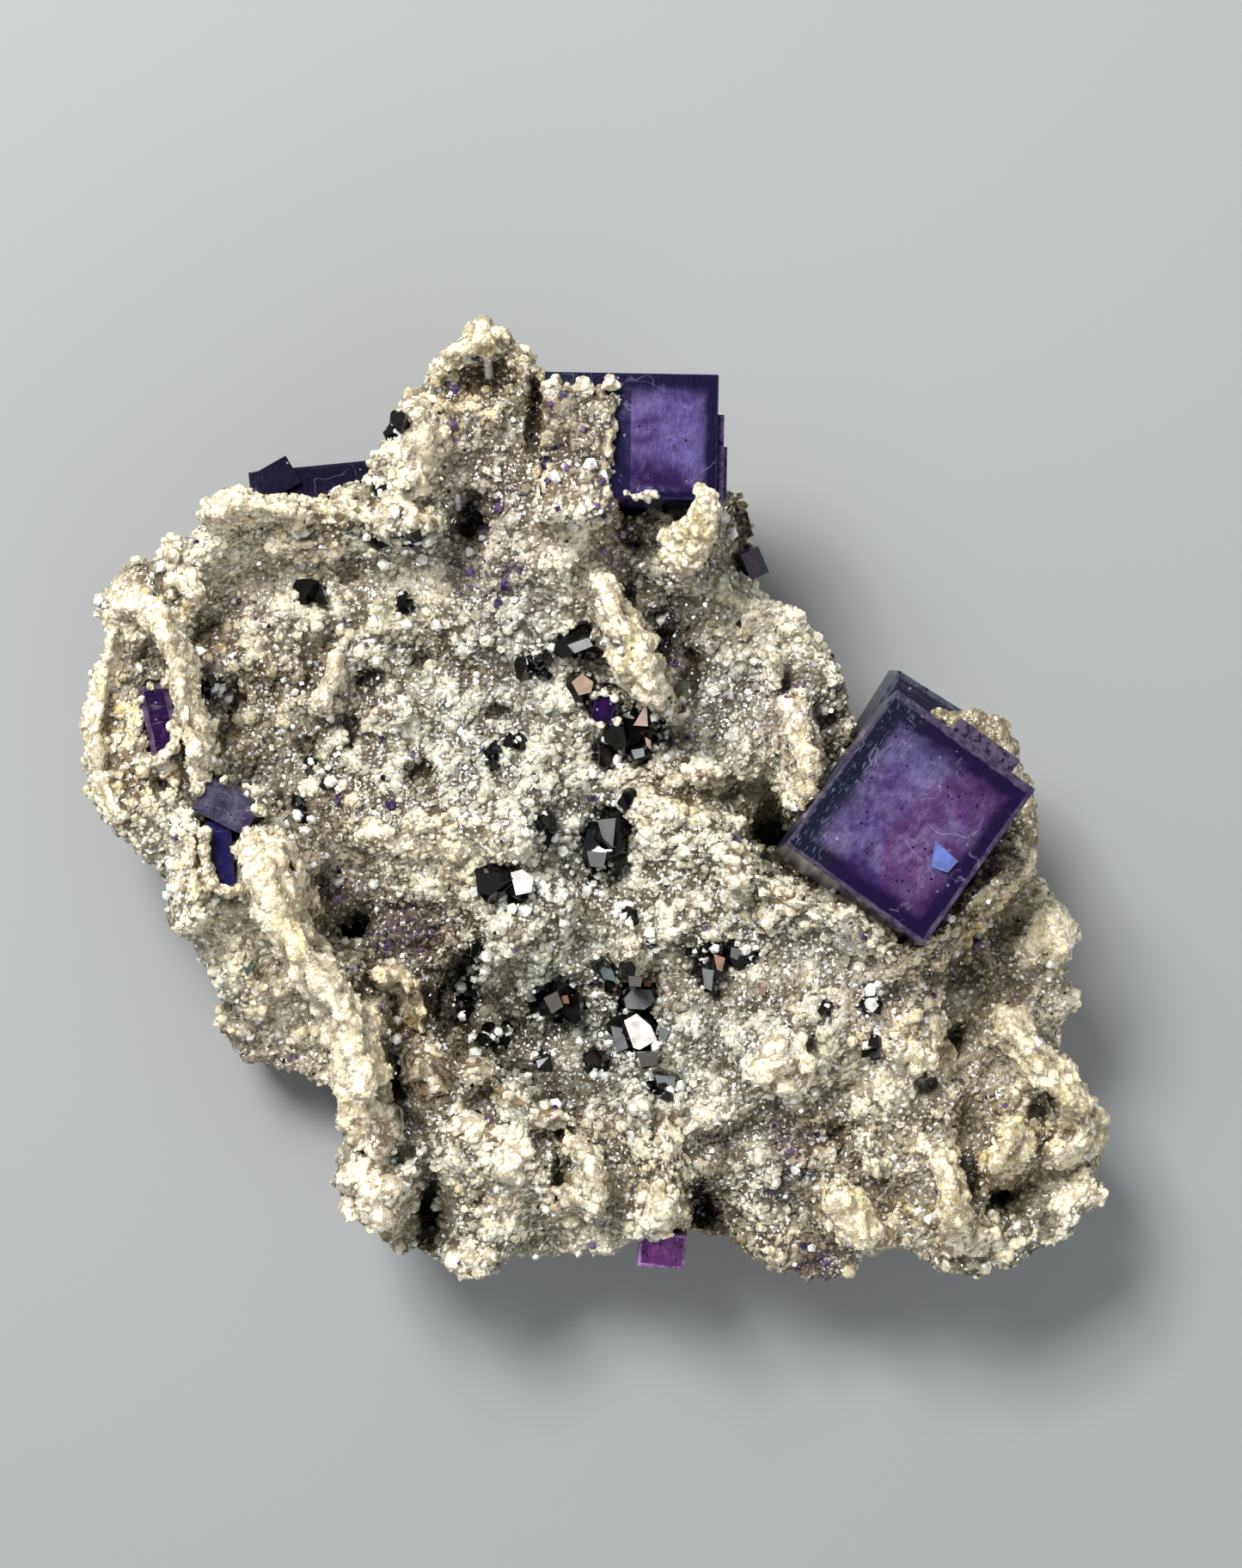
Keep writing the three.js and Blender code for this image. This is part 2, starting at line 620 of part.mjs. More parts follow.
// The places that give the front its shape: crest, shoulders and feet of each blade, the top and the
// rim of each lump, both sides of each ledge's edge, and the floor and lip of each pit
function shapingPlaces() {
  const places = [];
  for (const blade of blades) {
    for (const { x, y, heading, width } of stationsOf(blade, 2.9)) {
      for (const across of [0, -0.34, 0.34, -0.76, 0.76]) {
        places.push([x - heading.y * across * width, y + heading.x * across * width]);
      }
    }
  }
  for (const edge of ledgeEdges) {
    edge.forEach(([ax, ay], n) => {
      const [bx, by] = edge[(n + 1) % edge.length];
      const length = Math.hypot(bx - ax, by - ay);
      const count = Math.ceil(length / 2.8);
      const [outX, outY] = [(0.25 * (by - ay)) / length, (-0.25 * (bx - ax)) / length];
      for (let k = 0; k < count; k++) {
        const [x, y] = [ax + ((bx - ax) * (k + 0.5)) / count, ay + ((by - ay) * (k + 0.5)) / count];
        places.push([x + outX, y + outY], [x - outX, y - outY]);
      }
    });
  }
  const rings = [...lumps.map((lump) => [...lump, 0.75]), ...pits.map(([x, y, r]) => [x, y, r, 1])];
  for (const [x, y, radius, share] of rings) {
    places.push([x, y]);
    for (let n = 0; n < 5; n++) {
      const angle = (Math.PI * (2 * n + x)) / 5;
      places.push([x + share * radius * Math.cos(angle), y + share * radius * Math.sin(angle)]);
    }
  }
  return places;
}

// The rough wall of the plate: its outline, drawn in towards the back and a little towards the front
function outlineWall() {
  const levels = [
    { z: -2, share: 0.84, rough: 1.2 },
    { z: 3, share: 0.93, rough: 1.6 },
    { z: 6.5, share: 0.95, rough: 2 },
    { z: 11, share: 0.975, rough: 2 },
    { z: rimLevel, share: 1, rough: 0 },
    { z: topLevel, share: 0.89, rough: 0 },
  ];
  const points = [];
  const faces = [];
  const n = outline.length;
  const [mx, my] = outlineMiddle;
  for (const { z, share, rough } of levels) {
    for (const [x, y] of outline) {
      const k = share + rough * (0.02 * noise(x, y, 2 * z, 6) + 0.012 * noise(x, y, 2 * z, 2.2));
      points.push([mx + (x - mx) * k, my + (y - my) * k, z]);
    }
  }
  for (let level = 0; level + 1 < levels.length; level++) {
    for (let i = 0; i < n; i++) {
      const [a, b] = [level * n + i, level * n + ((i + 1) % n)];
      faces.push([a, b, b + n], [a, b + n, a + n]);
    }
  }
  const flat = outline.map(([x, y]) => new THREE.Vector2(x, y));
  const top = (levels.length - 1) * n;
  for (const [a, b, c] of THREE.ShapeUtils.triangulateShape(flat, [])) {
    faces.push([c, b, a], [top + a, top + b, top + c]);
  }
  return outwards(points, faces);
}

function buildMatrix() {
  const front = faceBlock(frontHeight, scatter(shapingPlaces(), reliefPitch, 0.5 * reliefPitch), -6);
  const back = faceBlock(backHeight, scatter([], backPitch, 0.5 * backPitch), topLevel + 14);
  return front.intersect(back).intersect(outlineWall());
}

// Crystals, each built round its own origin and then put in its place
function turned(geometry, turn) {
  const angles = turn.map(THREE.MathUtils.degToRad);
  const matrix = new THREE.Matrix4().makeRotationFromEuler(new THREE.Euler(...angles, "XYZ"));
  return geometry.applyMatrix4(matrix);
}

// A fluorite: cubes grown together. The origin is in the middle of the first one's front face.
function fluoriteSolid(cubes, gap) {
  return joinAll(
    cubes.map(({ size: [x, y, z], shift: [dx, dy, dz], turn }) => {
      const geometry = new THREE.BoxGeometry(x + 2 * gap, y + 2 * gap, z + 2 * gap);
      turned(geometry, turn ?? [0, 0, 0]);
      geometry.translate(dx, dy, dz - z / 2);
      return solidOf(geometry);
    }),
  );
}

// The two habits of sphalerite, one unit large: a tetrahedron with its corners cut flat, and a long
// six-sided slab with a bevelled top
const habits = {
  block() {
    const corners = [
      [1, 1, 1], [1, -1, -1], [-1, 1, -1], [-1, -1, 1],
    ].map((corner) => new THREE.Vector3(...corner));
    const others = (corner) => corners.filter((other) => other !== corner);
    return corners.flatMap((corner) =>
      others(corner).map((other) => corner.clone().lerp(other, 0.24).multiplyScalar(0.5)),
    );
  },
  slab() {
    const outline = [[0.5, 0], [0.36, 0.5], [-0.34, 0.5], [-0.5, 0.04], [-0.38, -0.5], [0.32, -0.5]];
    const levels = [[-0.5, 1], [0.24, 1], [0.5, 0.76]];
    return levels.flatMap(([z, share]) =>
      outline.map(([x, y]) => new THREE.Vector3(x * share, y * share, z)),
    );
  },
};

function sphaleriteSolid(blocks, gap) {
  return joinAll(
    blocks.map(({ habit, size, shift, turn }) => {
      const [x, y, z] = size.map((v) => v + 2 * gap);
      const geometry = turned(hullOf(habits[habit]().map((p) => [p.x * x, p.y * y, p.z * z])), turn);
      geometry.translate(...shift);
      return solidOf(geometry);
    }),
  );
}

// Every face of the convex hull of a few points, found plane by plane
function hullOf(points) {
  const faces = [];
  const v = points.map((p) => new THREE.Vector3(...p));
  const seen = new Set();
  for (let a = 0; a < v.length; a++) {
    for (let b = a + 1; b < v.length; b++) {
      for (let c = b + 1; c < v.length; c++) {
        const plane = new THREE.Plane().setFromCoplanarPoints(v[a], v[b], v[c]);
        if (plane.normal.lengthSq() < 0.5) continue;
        const sides = v.map((p) => plane.distanceToPoint(p));
        if (Math.max(...sides) > 1e-6 && Math.min(...sides) < -1e-6) continue;
        const normal = plane.normal.clone().multiplyScalar(Math.max(...sides) > 1e-6 ? -1 : 1);
        const ring = v.map((_, i) => i).filter((i) => Math.abs(sides[i]) < 1e-6);
        const key = ring.join();
        if (seen.has(key)) continue;
        seen.add(key);
        const middle = ring.reduce((m, i) => m.add(v[i]), new THREE.Vector3()).divideScalar(ring.length);
        const right = v[ring[0]].clone().sub(middle).normalize();
        const up = normal.clone().cross(right);
        ring.sort((i, j) => turnOf(v[i], middle, right, up) - turnOf(v[j], middle, right, up));
        for (let k = 1; k + 1 < ring.length; k++) faces.push([ring[0], ring[k], ring[k + 1]]);
      }
    }
  }
  return geometryFrom(points, faces);
}

function turnOf(point, middle, right, up) {
  const from = point.clone().sub(middle);
  return Math.atan2(from.dot(up), from.dot(right));
}

// Fluorites. "at" is where the middle of the first cube's front face is seen, "front" its height,
// "turn" its tilts about X and Y and its turn about Z in degrees.
const fluorites = [
  {
    name: "fluorite_large",
    at: [30.6, -0.9],
    front: 36,
    turn: [-4, 1, -36],
    cubes: [
      { size: [15.4, 17.4, 15.6], shift: [0, 0, 0] },
      { size: [6.6, 5, 8], shift: [1.9, 7.8, -1.6] },
    ],
  },
  {
    name: "fluorite_top",
    at: [3.45, 36.1],
    front: 33,
    turn: [-1, 0, -1],
    cubes: [
      { size: [15.9, 11.5, 12], shift: [0, 0, 0] },
      { size: [4, 7.8, 9], shift: [6.55, -1.7, -0.8] },
      { size: [4, 4.9, 7], shift: [6.9, -3.1, -1.5] },
    ],
  },
  {
    name: "fluorite_behind_right",
    at: [31.2, 6.9],
    front: 18.4,
    turn: [3, 2, -32],
    cubes: [
      { size: [9.8, 9, 7], shift: [0, 0, 0] },
      { size: [5, 4, 5], shift: [6, 0.4, -1] },
    ],
  },
  {
    name: "fluorite_behind_left",
    at: [-27.4, 30.2],
    front: 15.5,
    turn: [0, 4, 6],
    cubes: [
      { size: [12, 6, 8], shift: [0, 0, 0] },
      { size: [4, 3, 6], shift: [-3.4, 2, 0.6], turn: [0, 0, 24] },
    ],
  },
  {
    name: "fluorite_left_upper",
    at: [-42.2, 8.4],
    front: 25,
    turn: [0, 10, 12],
    cubes: [{ size: [2.8, 7, 5], shift: [0, 0, 0] }],
  },
  {
    name: "fluorite_left_lower",
    at: [-35.8, 0.1],
    front: 26,
    turn: [6, 6, -28],
    cubes: [
      { size: [5.6, 3.4, 6], shift: [0, 0, 0] },
      { size: [2.4, 6.4, 5], shift: [1.6, -4.4, -0.8], turn: [0, 0, 32] },
    ],
  },
  {
    name: "fluorite_bottom",
    at: [6.5, -43],
    front: 17,
    turn: [6, 0, -5],
    cubes: [{ size: [4.6, 3.4, 4], shift: [0, 0, 0] }],
  },
  {
    name: "fluorite_right_edge",
    at: [15.5, 23.7],
    front: 16.4,
    turn: [10, 16, 24],
    cubes: [{ size: [2, 2.8, 2.6], shift: [0, 0, 0] }],
  },
  {
    name: "fluorite_middle",
    at: [0.8, 9.6],
    front: 21,
    turn: [8, 0, -14],
    cubes: [{ size: [2, 2.8, 3], shift: [0, 0, 0] }],
  },
];

// Sphalerites. "at" is the place of the first block, "lift" how far its middle stands over the face.
const sphalerites = [
  {
    name: "sphalerite_upper_slab",
    at: [-2, 15.9],
    lift: 0.5,
    blocks: [
      { habit: "slab", size: [4.4, 1.9, 2], shift: [0, 0, 0], turn: [24, 0, 26] },
      { habit: "slab", size: [3.4, 1.6, 2], shift: [2.6, -0.6, 0], turn: [-16, 10, -12] },
    ],
  },
  {
    name: "sphalerite_upper_left",
    at: [-6.8, 13.4],
    lift: 0.5,
    blocks: [{ habit: "block", size: [1.9, 2.4, 2], shift: [0, 0, 0], turn: [20, 0, 12] }],
  },
  {
    name: "sphalerite_upper_small",
    at: [-5.1, 14.2],
    lift: 0.6,
    blocks: [{ habit: "block", size: [1.9, 1.7, 2], shift: [0, 0, 0], turn: [0, 24, -20] }],
  },
  {
    name: "sphalerite_bronze",
    at: [-1.3, 11.7],
    lift: 0.5,
    blocks: [{ habit: "block", size: [2.6, 2.8, 2.8], shift: [0, 0, 0], turn: [26, 8, 34] }],
  },
  {
    name: "sphalerite_centre",
    at: [3.8, 7],
    lift: 0.9,
    blocks: [
      { habit: "block", size: [4.4, 3.4, 3.6], shift: [0, 0, 0], turn: [18, -10, 8] },
      { habit: "block", size: [2.2, 3, 3.4], shift: [1.1, 1.7, 0.3], turn: [30, 24, 6] },
      { habit: "block", size: [2.4, 2.8, 2.8], shift: [-1.4, -0.2, 0], turn: [-14, 20, 50] },
      { habit: "slab", size: [2.4, 1.5, 1.8], shift: [0.5, -1.8, 0.1], turn: [-24, 6, 20] },
    ],
  },
  {
    name: "sphalerite_centre_left",
    at: [0.8, 5.2],
    lift: 0.5,
    blocks: [{ habit: "block", size: [2.2, 2.4, 2.4], shift: [0, 0, 0], turn: [10, -20, 40] }],
  },
  {
    name: "sphalerite_hollow_edge",
    at: [1.6, -2.2],
    lift: 0.2,
    blocks: [
      { habit: "slab", size: [4.4, 2.4, 2.6], shift: [0, 0, 0], turn: [10, 20, 62] },
      { habit: "block", size: [4.2, 4.2, 4], shift: [-0.9, -2, -0.4], turn: [22, 14, -28] },
    ],
  },
  {
    name: "sphalerite_wedge",
    at: [-4.5, -1.6],
    lift: 0.6,
    blocks: [{ habit: "slab", size: [2.5, 1.3, 2], shift: [0, 0, 0], turn: [0, 18, -76] }],
  },
  {
    name: "sphalerite_left",
    at: [-9.4, -7.2],
    lift: 1,
    blocks: [
      { habit: "block", size: [4.4, 3.8, 3.8], shift: [0, 0, 0], turn: [8, 20, -8] },
      { habit: "block", size: [2.5, 2.8, 2.8], shift: [1.8, -0.4, 0.1], turn: [-20, 26, 30] },
    ],
  },
  {
    name: "sphalerite_left_small",
    at: [-11.6, -13.7],
    lift: 0.3,
    blocks: [{ habit: "slab", size: [1.9, 1, 1.8], shift: [0, 0, 0], turn: [0, 0, 82] }],
  },
  {
    name: "sphalerite_right",
    at: [12.2, -13.9],
    lift: 0.6,
    blocks: [
      { habit: "block", size: [3.2, 2.6, 2.8], shift: [0, 0, 0], turn: [16, -18, 24] },
      { habit: "slab", size: [2.9, 1.5, 2.4], shift: [-0.7, -1.5, 0], turn: [0, 20, 78] },
      { habit: "slab", size: [3.4, 2, 2.4], shift: [2.1, -0.3, 0], turn: [14, 0, 14] },
    ],
  },
  {
    name: "sphalerite_lower_left",
    at: [-3.9, -18.7],
    lift: 1,
    blocks: [
      { habit: "block", size: [4.2, 3.6, 3.6], shift: [0, 0, 0], turn: [16, -12, 26] },
      { habit: "block", size: [3, 2.6, 2.8], shift: [1.8, -1.1, -0.2], turn: [0, 24, 56] },
    ],
  },
  {
    name: "sphalerite_shard_left",
    at: [0.8, -15.9],
    lift: 0.4,
    blocks: [{ habit: "slab", size: [2.4, 1.5, 2], shift: [0, 0, 0], turn: [18, 8, -46] }],
  },
  {
    name: "sphalerite_shard_right",
    at: [3.1, -15.8],
    lift: 0.4,
    blocks: [{ habit: "slab", size: [2.2, 1.1, 2], shift: [0, 0, 0], turn: [0, 24, 78] }],
  },
  {
    name: "sphalerite_mirror",
    at: [4.5, -18.7],
    lift: 1.3,
    blocks: [
      { habit: "slab", size: [3.6, 2.5, 2.6], shift: [0, 0, 0], turn: [4, -4, 3] },
      { habit: "slab", size: [3.8, 3.2, 3], shift: [0, -3, -0.2], turn: [12, -12, -38] },
      { habit: "block", size: [2.4, 3, 2.8], shift: [-1.8, -3.3, -0.5], turn: [-8, 26, 40] },
      { habit: "block", size: [2.8, 2.4, 2.8], shift: [0.6, -5, -0.6], turn: [22, 0, 12] },
    ],
  },
  {
    name: "sphalerite_low",
    at: [0.3, -25],
    lift: 0.7,
    blocks: [{ habit: "block", size: [2.7, 2.9, 2.8], shift: [0, 0, 0], turn: [14, 10, 34] }],
  },
  {
    name: "sphalerite_striped",
    at: [6.9, -26.2],
    lift: 0.5,
    blocks: [{ habit: "slab", size: [2.9, 1.5, 2.2], shift: [0, 0, 0], turn: [10, 8, -24] }],
  },
  {
    name: "sphalerite_basin",
    at: [-27.6, 21],
    lift: 0.1,
    blocks: [
      { habit: "block", size: [2.6, 2.2, 2.4], shift: [0, 0, 0], turn: [20, 12, 16] },
      { habit: "block", size: [1.8, 2.2, 2.2], shift: [1.2, -0.6, 0], turn: [-12, 26, 60] },
    ],
  },
  {
    name: "sphalerite_tower",
    at: [-17.8, 35.6],
    lift: 0,
    blocks: [{ habit: "block", size: [1.6, 2, 2], shift: [0, 0, 0], turn: [0, 16, 24] }],
  },
];

// Six-sided quartz needles, and one flat olive-brown flake
const needles = [
  { name: "quartz_needle_upper", radius: 0.42, length: 3.4, at: [-10, 41.6], lift: 1, turn: [62, 26, 0] },
  { name: "quartz_needle_lower", radius: 0.3, length: 3, at: [-13.1, 29.3], lift: 0.9, turn: [66, 32, 0] },
];
const flake = { name: "olive_flake", size: [3.4, 5.4, 2.2], at: [41.2, -1.4, 14.2], turn: [0, 6, 14] };

function needleSolid({ radius, length }, gap) {
  const wide = radius + gap;
  const end = length / 2 + gap;
  const profile = [[0, -end], [wide, -end], [wide, end - 1.6 * wide], [0, end]];
  const sides = 6;
  return solidOf(new THREE.LatheGeometry(profile.map(([x, y]) => new THREE.Vector2(x, y)), sides));
}

function onTheFace([x, y], lift) {
  return [x, y, frontHeight(x, y) + lift];
}

// Every crystal: its solid round its own origin, where it sits and how it is turned
const noTurn = [0, 0, 0];
const crystals = [
  ...fluorites.map(({ name, at, front, turn, cubes }) => ({
    name,
    place: [...raised(at, front), front],
    turn,
    material: { color: 0x4b2a86, roughness: 0.12, metalness: 0 },
    solid: (gap) => fluoriteSolid(cubes, gap),
  })),
  ...sphalerites.map(({ name, at, lift, blocks }) => ({
    name,
    place: onTheFace(at, lift),
    turn: noTurn,
    material: { color: 0x11100f, roughness: 0.16, metalness: 0.1 },
    solid: (gap) => sphaleriteSolid(blocks, gap),
  })),
  ...needles.map((needle) => ({
    name: needle.name,
    place: onTheFace(needle.at, needle.lift),
    turn: needle.turn,
    material: { color: 0xe8e8e2, roughness: 0.15, metalness: 0 },
    solid: (gap) => needleSolid(needle, gap),
  })),
  {
    name: flake.name,
    place: flake.at,
    turn: flake.turn,
    material: { color: 0x8c8868, roughness: 0.35, metalness: 0 },
    solid: (gap) => solidOf(new THREE.BoxGeometry(...flake.size.map((v) => v + 2 * gap))),
  },
];

function addMesh(name, solid, material) {
  const mesh = new THREE.Mesh(geometryOf(solid), new THREE.MeshStandardMaterial(material));
  mesh.name = name;
  specimen.add(mesh);
  return mesh;
}

const specimen = new THREE.Group();
let matrix = buildMatrix();
for (const { name, place, turn, material, solid } of crystals) {
  const mesh = addMesh(name, solid(0), material);
  mesh.position.set(...place);
  mesh.rotation.set(...turn.map(THREE.MathUtils.degToRad), "XYZ");
  mesh.updateMatrix();
  const socket = geometryOf(solid(socketGap)).applyMatrix4(mesh.matrix);
  matrix = matrix.subtract(solidOf(socket));
}
const wholePlate = matrix.decompose().sort((a, b) => b.volume() - a.volume())[0];
addMesh("matrix", wholePlate, { color: 0xb9b4a0, roughness: 0.7, metalness: 0 });

export default specimen;
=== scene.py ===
# Looks for the zoned fluorite specimen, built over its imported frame. Blender works in metres here.
import math

import bpy
import numpy as np
from mathutils import Matrix, Vector
from mathutils.bvhtree import BVHTree


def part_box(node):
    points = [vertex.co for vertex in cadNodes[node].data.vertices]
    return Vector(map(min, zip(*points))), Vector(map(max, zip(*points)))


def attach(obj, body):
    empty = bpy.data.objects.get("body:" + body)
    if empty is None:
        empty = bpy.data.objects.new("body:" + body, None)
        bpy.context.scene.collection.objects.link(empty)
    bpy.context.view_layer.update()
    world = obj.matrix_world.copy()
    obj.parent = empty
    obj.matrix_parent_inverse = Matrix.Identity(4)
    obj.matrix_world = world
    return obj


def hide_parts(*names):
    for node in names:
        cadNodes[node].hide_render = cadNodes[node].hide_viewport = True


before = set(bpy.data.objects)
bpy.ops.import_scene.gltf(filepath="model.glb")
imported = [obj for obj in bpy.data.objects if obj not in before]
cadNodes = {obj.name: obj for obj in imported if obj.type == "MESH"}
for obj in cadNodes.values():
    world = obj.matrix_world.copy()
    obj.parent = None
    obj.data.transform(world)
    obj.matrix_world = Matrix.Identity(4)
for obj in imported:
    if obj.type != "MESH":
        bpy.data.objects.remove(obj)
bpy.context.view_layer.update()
mm = 0.001
fullTurn = 6.283
print("frame loaded:", len(cadNodes), "nodes")

# Where things were read: millimetres as seen by an eye over the plate, all at one level
eye = {"x": 2.5, "y": 2.3, "height": 278.0, "level": 18.0, "lens": 61.5, "sensor": 36.0}


def seenAs(x, y, z):
    # arrays in metres to places in millimetres at the eye's level
    share = (eye["height"] - eye["level"]) / (eye["height"] - z / mm)
    return eye["x"] + (x / mm - eye["x"]) * share, eye["y"] + (y / mm - eye["y"]) * share


def placeOf(x, y, height):
    # a seen place in millimetres to a point in metres at this height
    share = (eye["height"] - height) / (eye["height"] - eye["level"])
    return Vector((
        (eye["x"] + (x - eye["x"]) * share) * mm,
        (eye["y"] + (y - eye["y"]) * share) * mm,
        height * mm,
    ))


# Small tools for objects
def only(*pieces):
    bpy.ops.object.select_all(action="DESELECT")
    for piece in pieces:
        piece.select_set(True)
    bpy.context.view_layer.objects.active = pieces[0]


def applyAll(piece):
    only(piece)
    for modifier in list(piece.modifiers):
        bpy.ops.object.modifier_apply(modifier=modifier.name)


def copyOfNode(node, name):
    # a merged copy of a CAD node, free of the frame
    piece = cadNodes[node].copy()
    piece.data = piece.data.copy()
    piece.parent = None
    piece.matrix_world = Matrix.Identity(4)
    piece.name = name
    piece.data.name = name
    piece.data.materials.clear()
    bpy.context.scene.collection.objects.link(piece)
    only(piece)
    bpy.ops.object.mode_set(mode="EDIT")
    bpy.ops.mesh.select_all(action="SELECT")
    bpy.ops.mesh.remove_doubles(threshold=0.00001)
    bpy.ops.mesh.normals_make_consistent(inside=False)
    bpy.ops.object.mode_set(mode="OBJECT")
    return piece


def triangles(piece):
    piece.data.calc_loop_triangles()
    return len(piece.data.loop_triangles)


def arrayOf(collection, key, width):
    values = np.empty(len(collection) * width)
    collection.foreach_get(key, values)
    return values.reshape(-1, width) if width > 1 else values


def writeFields(piece, fields):
    for name, field in fields.items():
        layer = piece.data.attributes.new(name, "FLOAT", "POINT")
        layer.data.foreach_set("value", field.astype(np.float32))


def newShape(kind, **settings):
    # a new mesh primitive, alone selected
    bpy.ops.object.select_all(action="DESELECT")
    getattr(bpy.ops.mesh, f"primitive_{kind}_add")(**settings)
    return bpy.context.object


def joined(pieces):
    only(*pieces)
    if len(pieces) > 1:
        bpy.ops.object.join()
    return bpy.context.object


def voxelSkin(piece, size):
    # one even skin around all that the piece holds
    skin = piece.modifiers.new("skin", "REMESH")
    skin.mode = "VOXEL"
    skin.voxel_size = size
    applyAll(piece)


def smooth(piece):
    only(piece)
    bpy.ops.object.shade_smooth()


def finished(piece, material):
    piece.data.materials.clear()
    piece.data.materials.append(material)
    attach(piece, "root")
    print(piece.name + ":", triangles(piece), "triangles")
    return piece


# Small tools for node trees
def feed(tree, node, feeds):
    # links a socket, or sets a plain value
    for name, value in feeds.items():
        target = node.inputs[name]
        if isinstance(value, bpy.types.NodeSocket):
            tree.links.new(value, target)
        else:
            target.default_value = value


def addNode(tree, kind, feeds=None, **settings):
    node = tree.nodes.new(kind)
    for name, value in settings.items():
        setattr(node, name, value)
    feed(tree, node, feeds or {})
    return node


def math2(tree, operation, first, second=0.0, third=0.0):
    return addNode(tree, "ShaderNodeMath", {0: first, 1: second, 2: third}, operation=operation).outputs[0]


def times(tree, first, second):
    return math2(tree, "MULTIPLY", first, second)


def minus(tree, first, second):
    return math2(tree, "SUBTRACT", first, second)


def vectors(tree, operation, feeds):
    return addNode(tree, "ShaderNodeVectorMath", feeds, operation=operation).outputs[0]


def fromTo(tree, value, low, high, newLow=0.0, newHigh=1.0):
    # smooth step from low to high
    feeds = {"Value": value, "From Min": low, "From Max": high, "To Min": newLow, "To Max": newHigh}
    node = addNode(tree, "ShaderNodeMapRange", feeds, interpolation_type="SMOOTHSTEP")
    return node.outputs[0]


def linear(red, green, blue):
    # colour as seen on a screen, 0 to 255, to what a shader takes
    def one(value):
        share = value / 255
        return share / 12.92 if share <= 0.04045 else ((share + 0.055) / 1.055) ** 2.4
    return (one(red), one(green), one(blue), 1.0)


def blend(tree, share, first, second, kind="MIX"):
    node = addNode(tree, "ShaderNodeMix", {0: share, 6: first, 7: second}, data_type="RGBA", blend_type=kind)
    return node.outputs[2]


def attribute(tree, name):
    return addNode(tree, "ShaderNodeAttribute", attribute_name=name).outputs["Fac"]


def namedField(tree, name):
    return addNode(tree, "GeometryNodeInputNamedAttribute", {"Name": name}, data_type="FLOAT").outputs[0]


def objectPlace(tree):
    return addNode(tree, "ShaderNodeTexCoord").outputs["Object"]


def noise(tree, place, scale, detail, more=None):
    feeds = {"Vector": place, "Scale": scale, "Detail": detail, **(more or {})}
    return addNode(tree, "ShaderNodeTexNoise", feeds).outputs[0]


def splitVector(tree, vector):
    return addNode(tree, "ShaderNodeSeparateXYZ", {0: vector}).outputs


def splitColour(tree, colour):
    return addNode(tree, "ShaderNodeSeparateColor", {0: colour}).outputs


def greyFrom(tree, value):
    return addNode(tree, "ShaderNodeCombineColor", {0: value, 1: value, 2: value}).outputs[0]


def bumpFrom(tree, height, strength, depth):
    feeds = {"Height": height, "Strength": strength, "Distance": depth}
    return addNode(tree, "ShaderNodeBump", feeds).outputs[0]


def geometryTree(name):
    # an empty tree that takes a mesh and gives one
    tree = bpy.data.node_groups.new(name, "GeometryNodeTree")
    for way in ("INPUT", "OUTPUT"):
        tree.interface.new_socket("Geometry", in_out=way, socket_type="NodeSocketGeometry")
    return tree


def applyTree(piece, tree, result):
    # ends the tree with this result, applies it to the piece and drops it
    addNode(tree, "NodeGroupOutput", {0: result})
    piece.modifiers.new(tree.name, "NODES").node_group = tree
    applyAll(piece)
    bpy.data.node_groups.remove(tree)


def newMaterial(name):
    material = bpy.data.materials.new(name)
    material.use_nodes = True
    tree = material.node_tree
    shader = tree.nodes["Principled BSDF"]
    return material, tree, shader


# The matrix: a voxel skin over the solid, finer where it looks forward, roughened into rounded knobs.
# Each pair is the size and height of one kind of bump. The front is what faces up by at least so much and lies
# higher than this. What hangs lower than the worn height moves up by its share of the way.
matrixLook = {
    "voxel": 0.74 * mm,
    "front": {"facing": 0.12, "height": 7 * mm},
    "worn": {"height": 0.6 * mm, "share": 0.62},
    "swell": (6.0 * mm, 0.9 * mm),
    "knobs": (3.2 * mm, 1.45 * mm),
    "beads": (1.4 * mm, 0.52 * mm),
    "grit": (0.8 * mm, 0.22 * mm),
}


def roughen(piece, look):
    # moves each point along its normal by slow noise and rounded cells, and writes how far up its knob it is
    tree = geometryTree("roughen")
    start = addNode(tree, "NodeGroupInput").outputs[0]
    place = addNode(tree, "GeometryNodeInputPosition").outputs[0]
    normal = addNode(tree, "GeometryNodeInputNormal").outputs[0]
    size, height = look["swell"]
    total = times(tree, minus(tree, noise(tree, place, 1 / size, 2.0), 0.5), 2 * height)
    knoll = 0.0
    for key, part in (("knobs", 0.6), ("beads", 0.8), ("grit", 0.3)):
        size, height = look[key]
        feeds = {"Vector": place, "Scale": 1 / size, "Smoothness": 0.12}
        cells = addNode(tree, "ShaderNodeTexVoronoi", feeds, feature="SMOOTH_F1")
        dome = minus(tree, 0.42, cells.outputs["Distance"])
        total = math2(tree, "MULTIPLY_ADD", dome, height, total)
        knoll = math2(tree, "MULTIPLY_ADD", dome, part, knoll)
    knoll = fromTo(tree, knoll, -0.26, 0.3)
    written = addNode(tree, "GeometryNodeStoreNamedAttribute", {0: start, "Name": "knoll", "Value": knoll},
                      data_type="FLOAT", domain="POINT").outputs[0]
    calm = fromTo(tree, namedField(tree, "cream"), 0.2, 1.0, 1.0, 0.6)
    push = vectors(tree, "SCALE", {0: vectors(tree, "SCALE", {0: normal, "Scale": total}), "Scale": calm})
    moved = addNode(tree, "GeometryNodeSetPosition", {"Geometry": written, "Offset": push}).outputs[0]
    applyTree(piece, tree, moved)


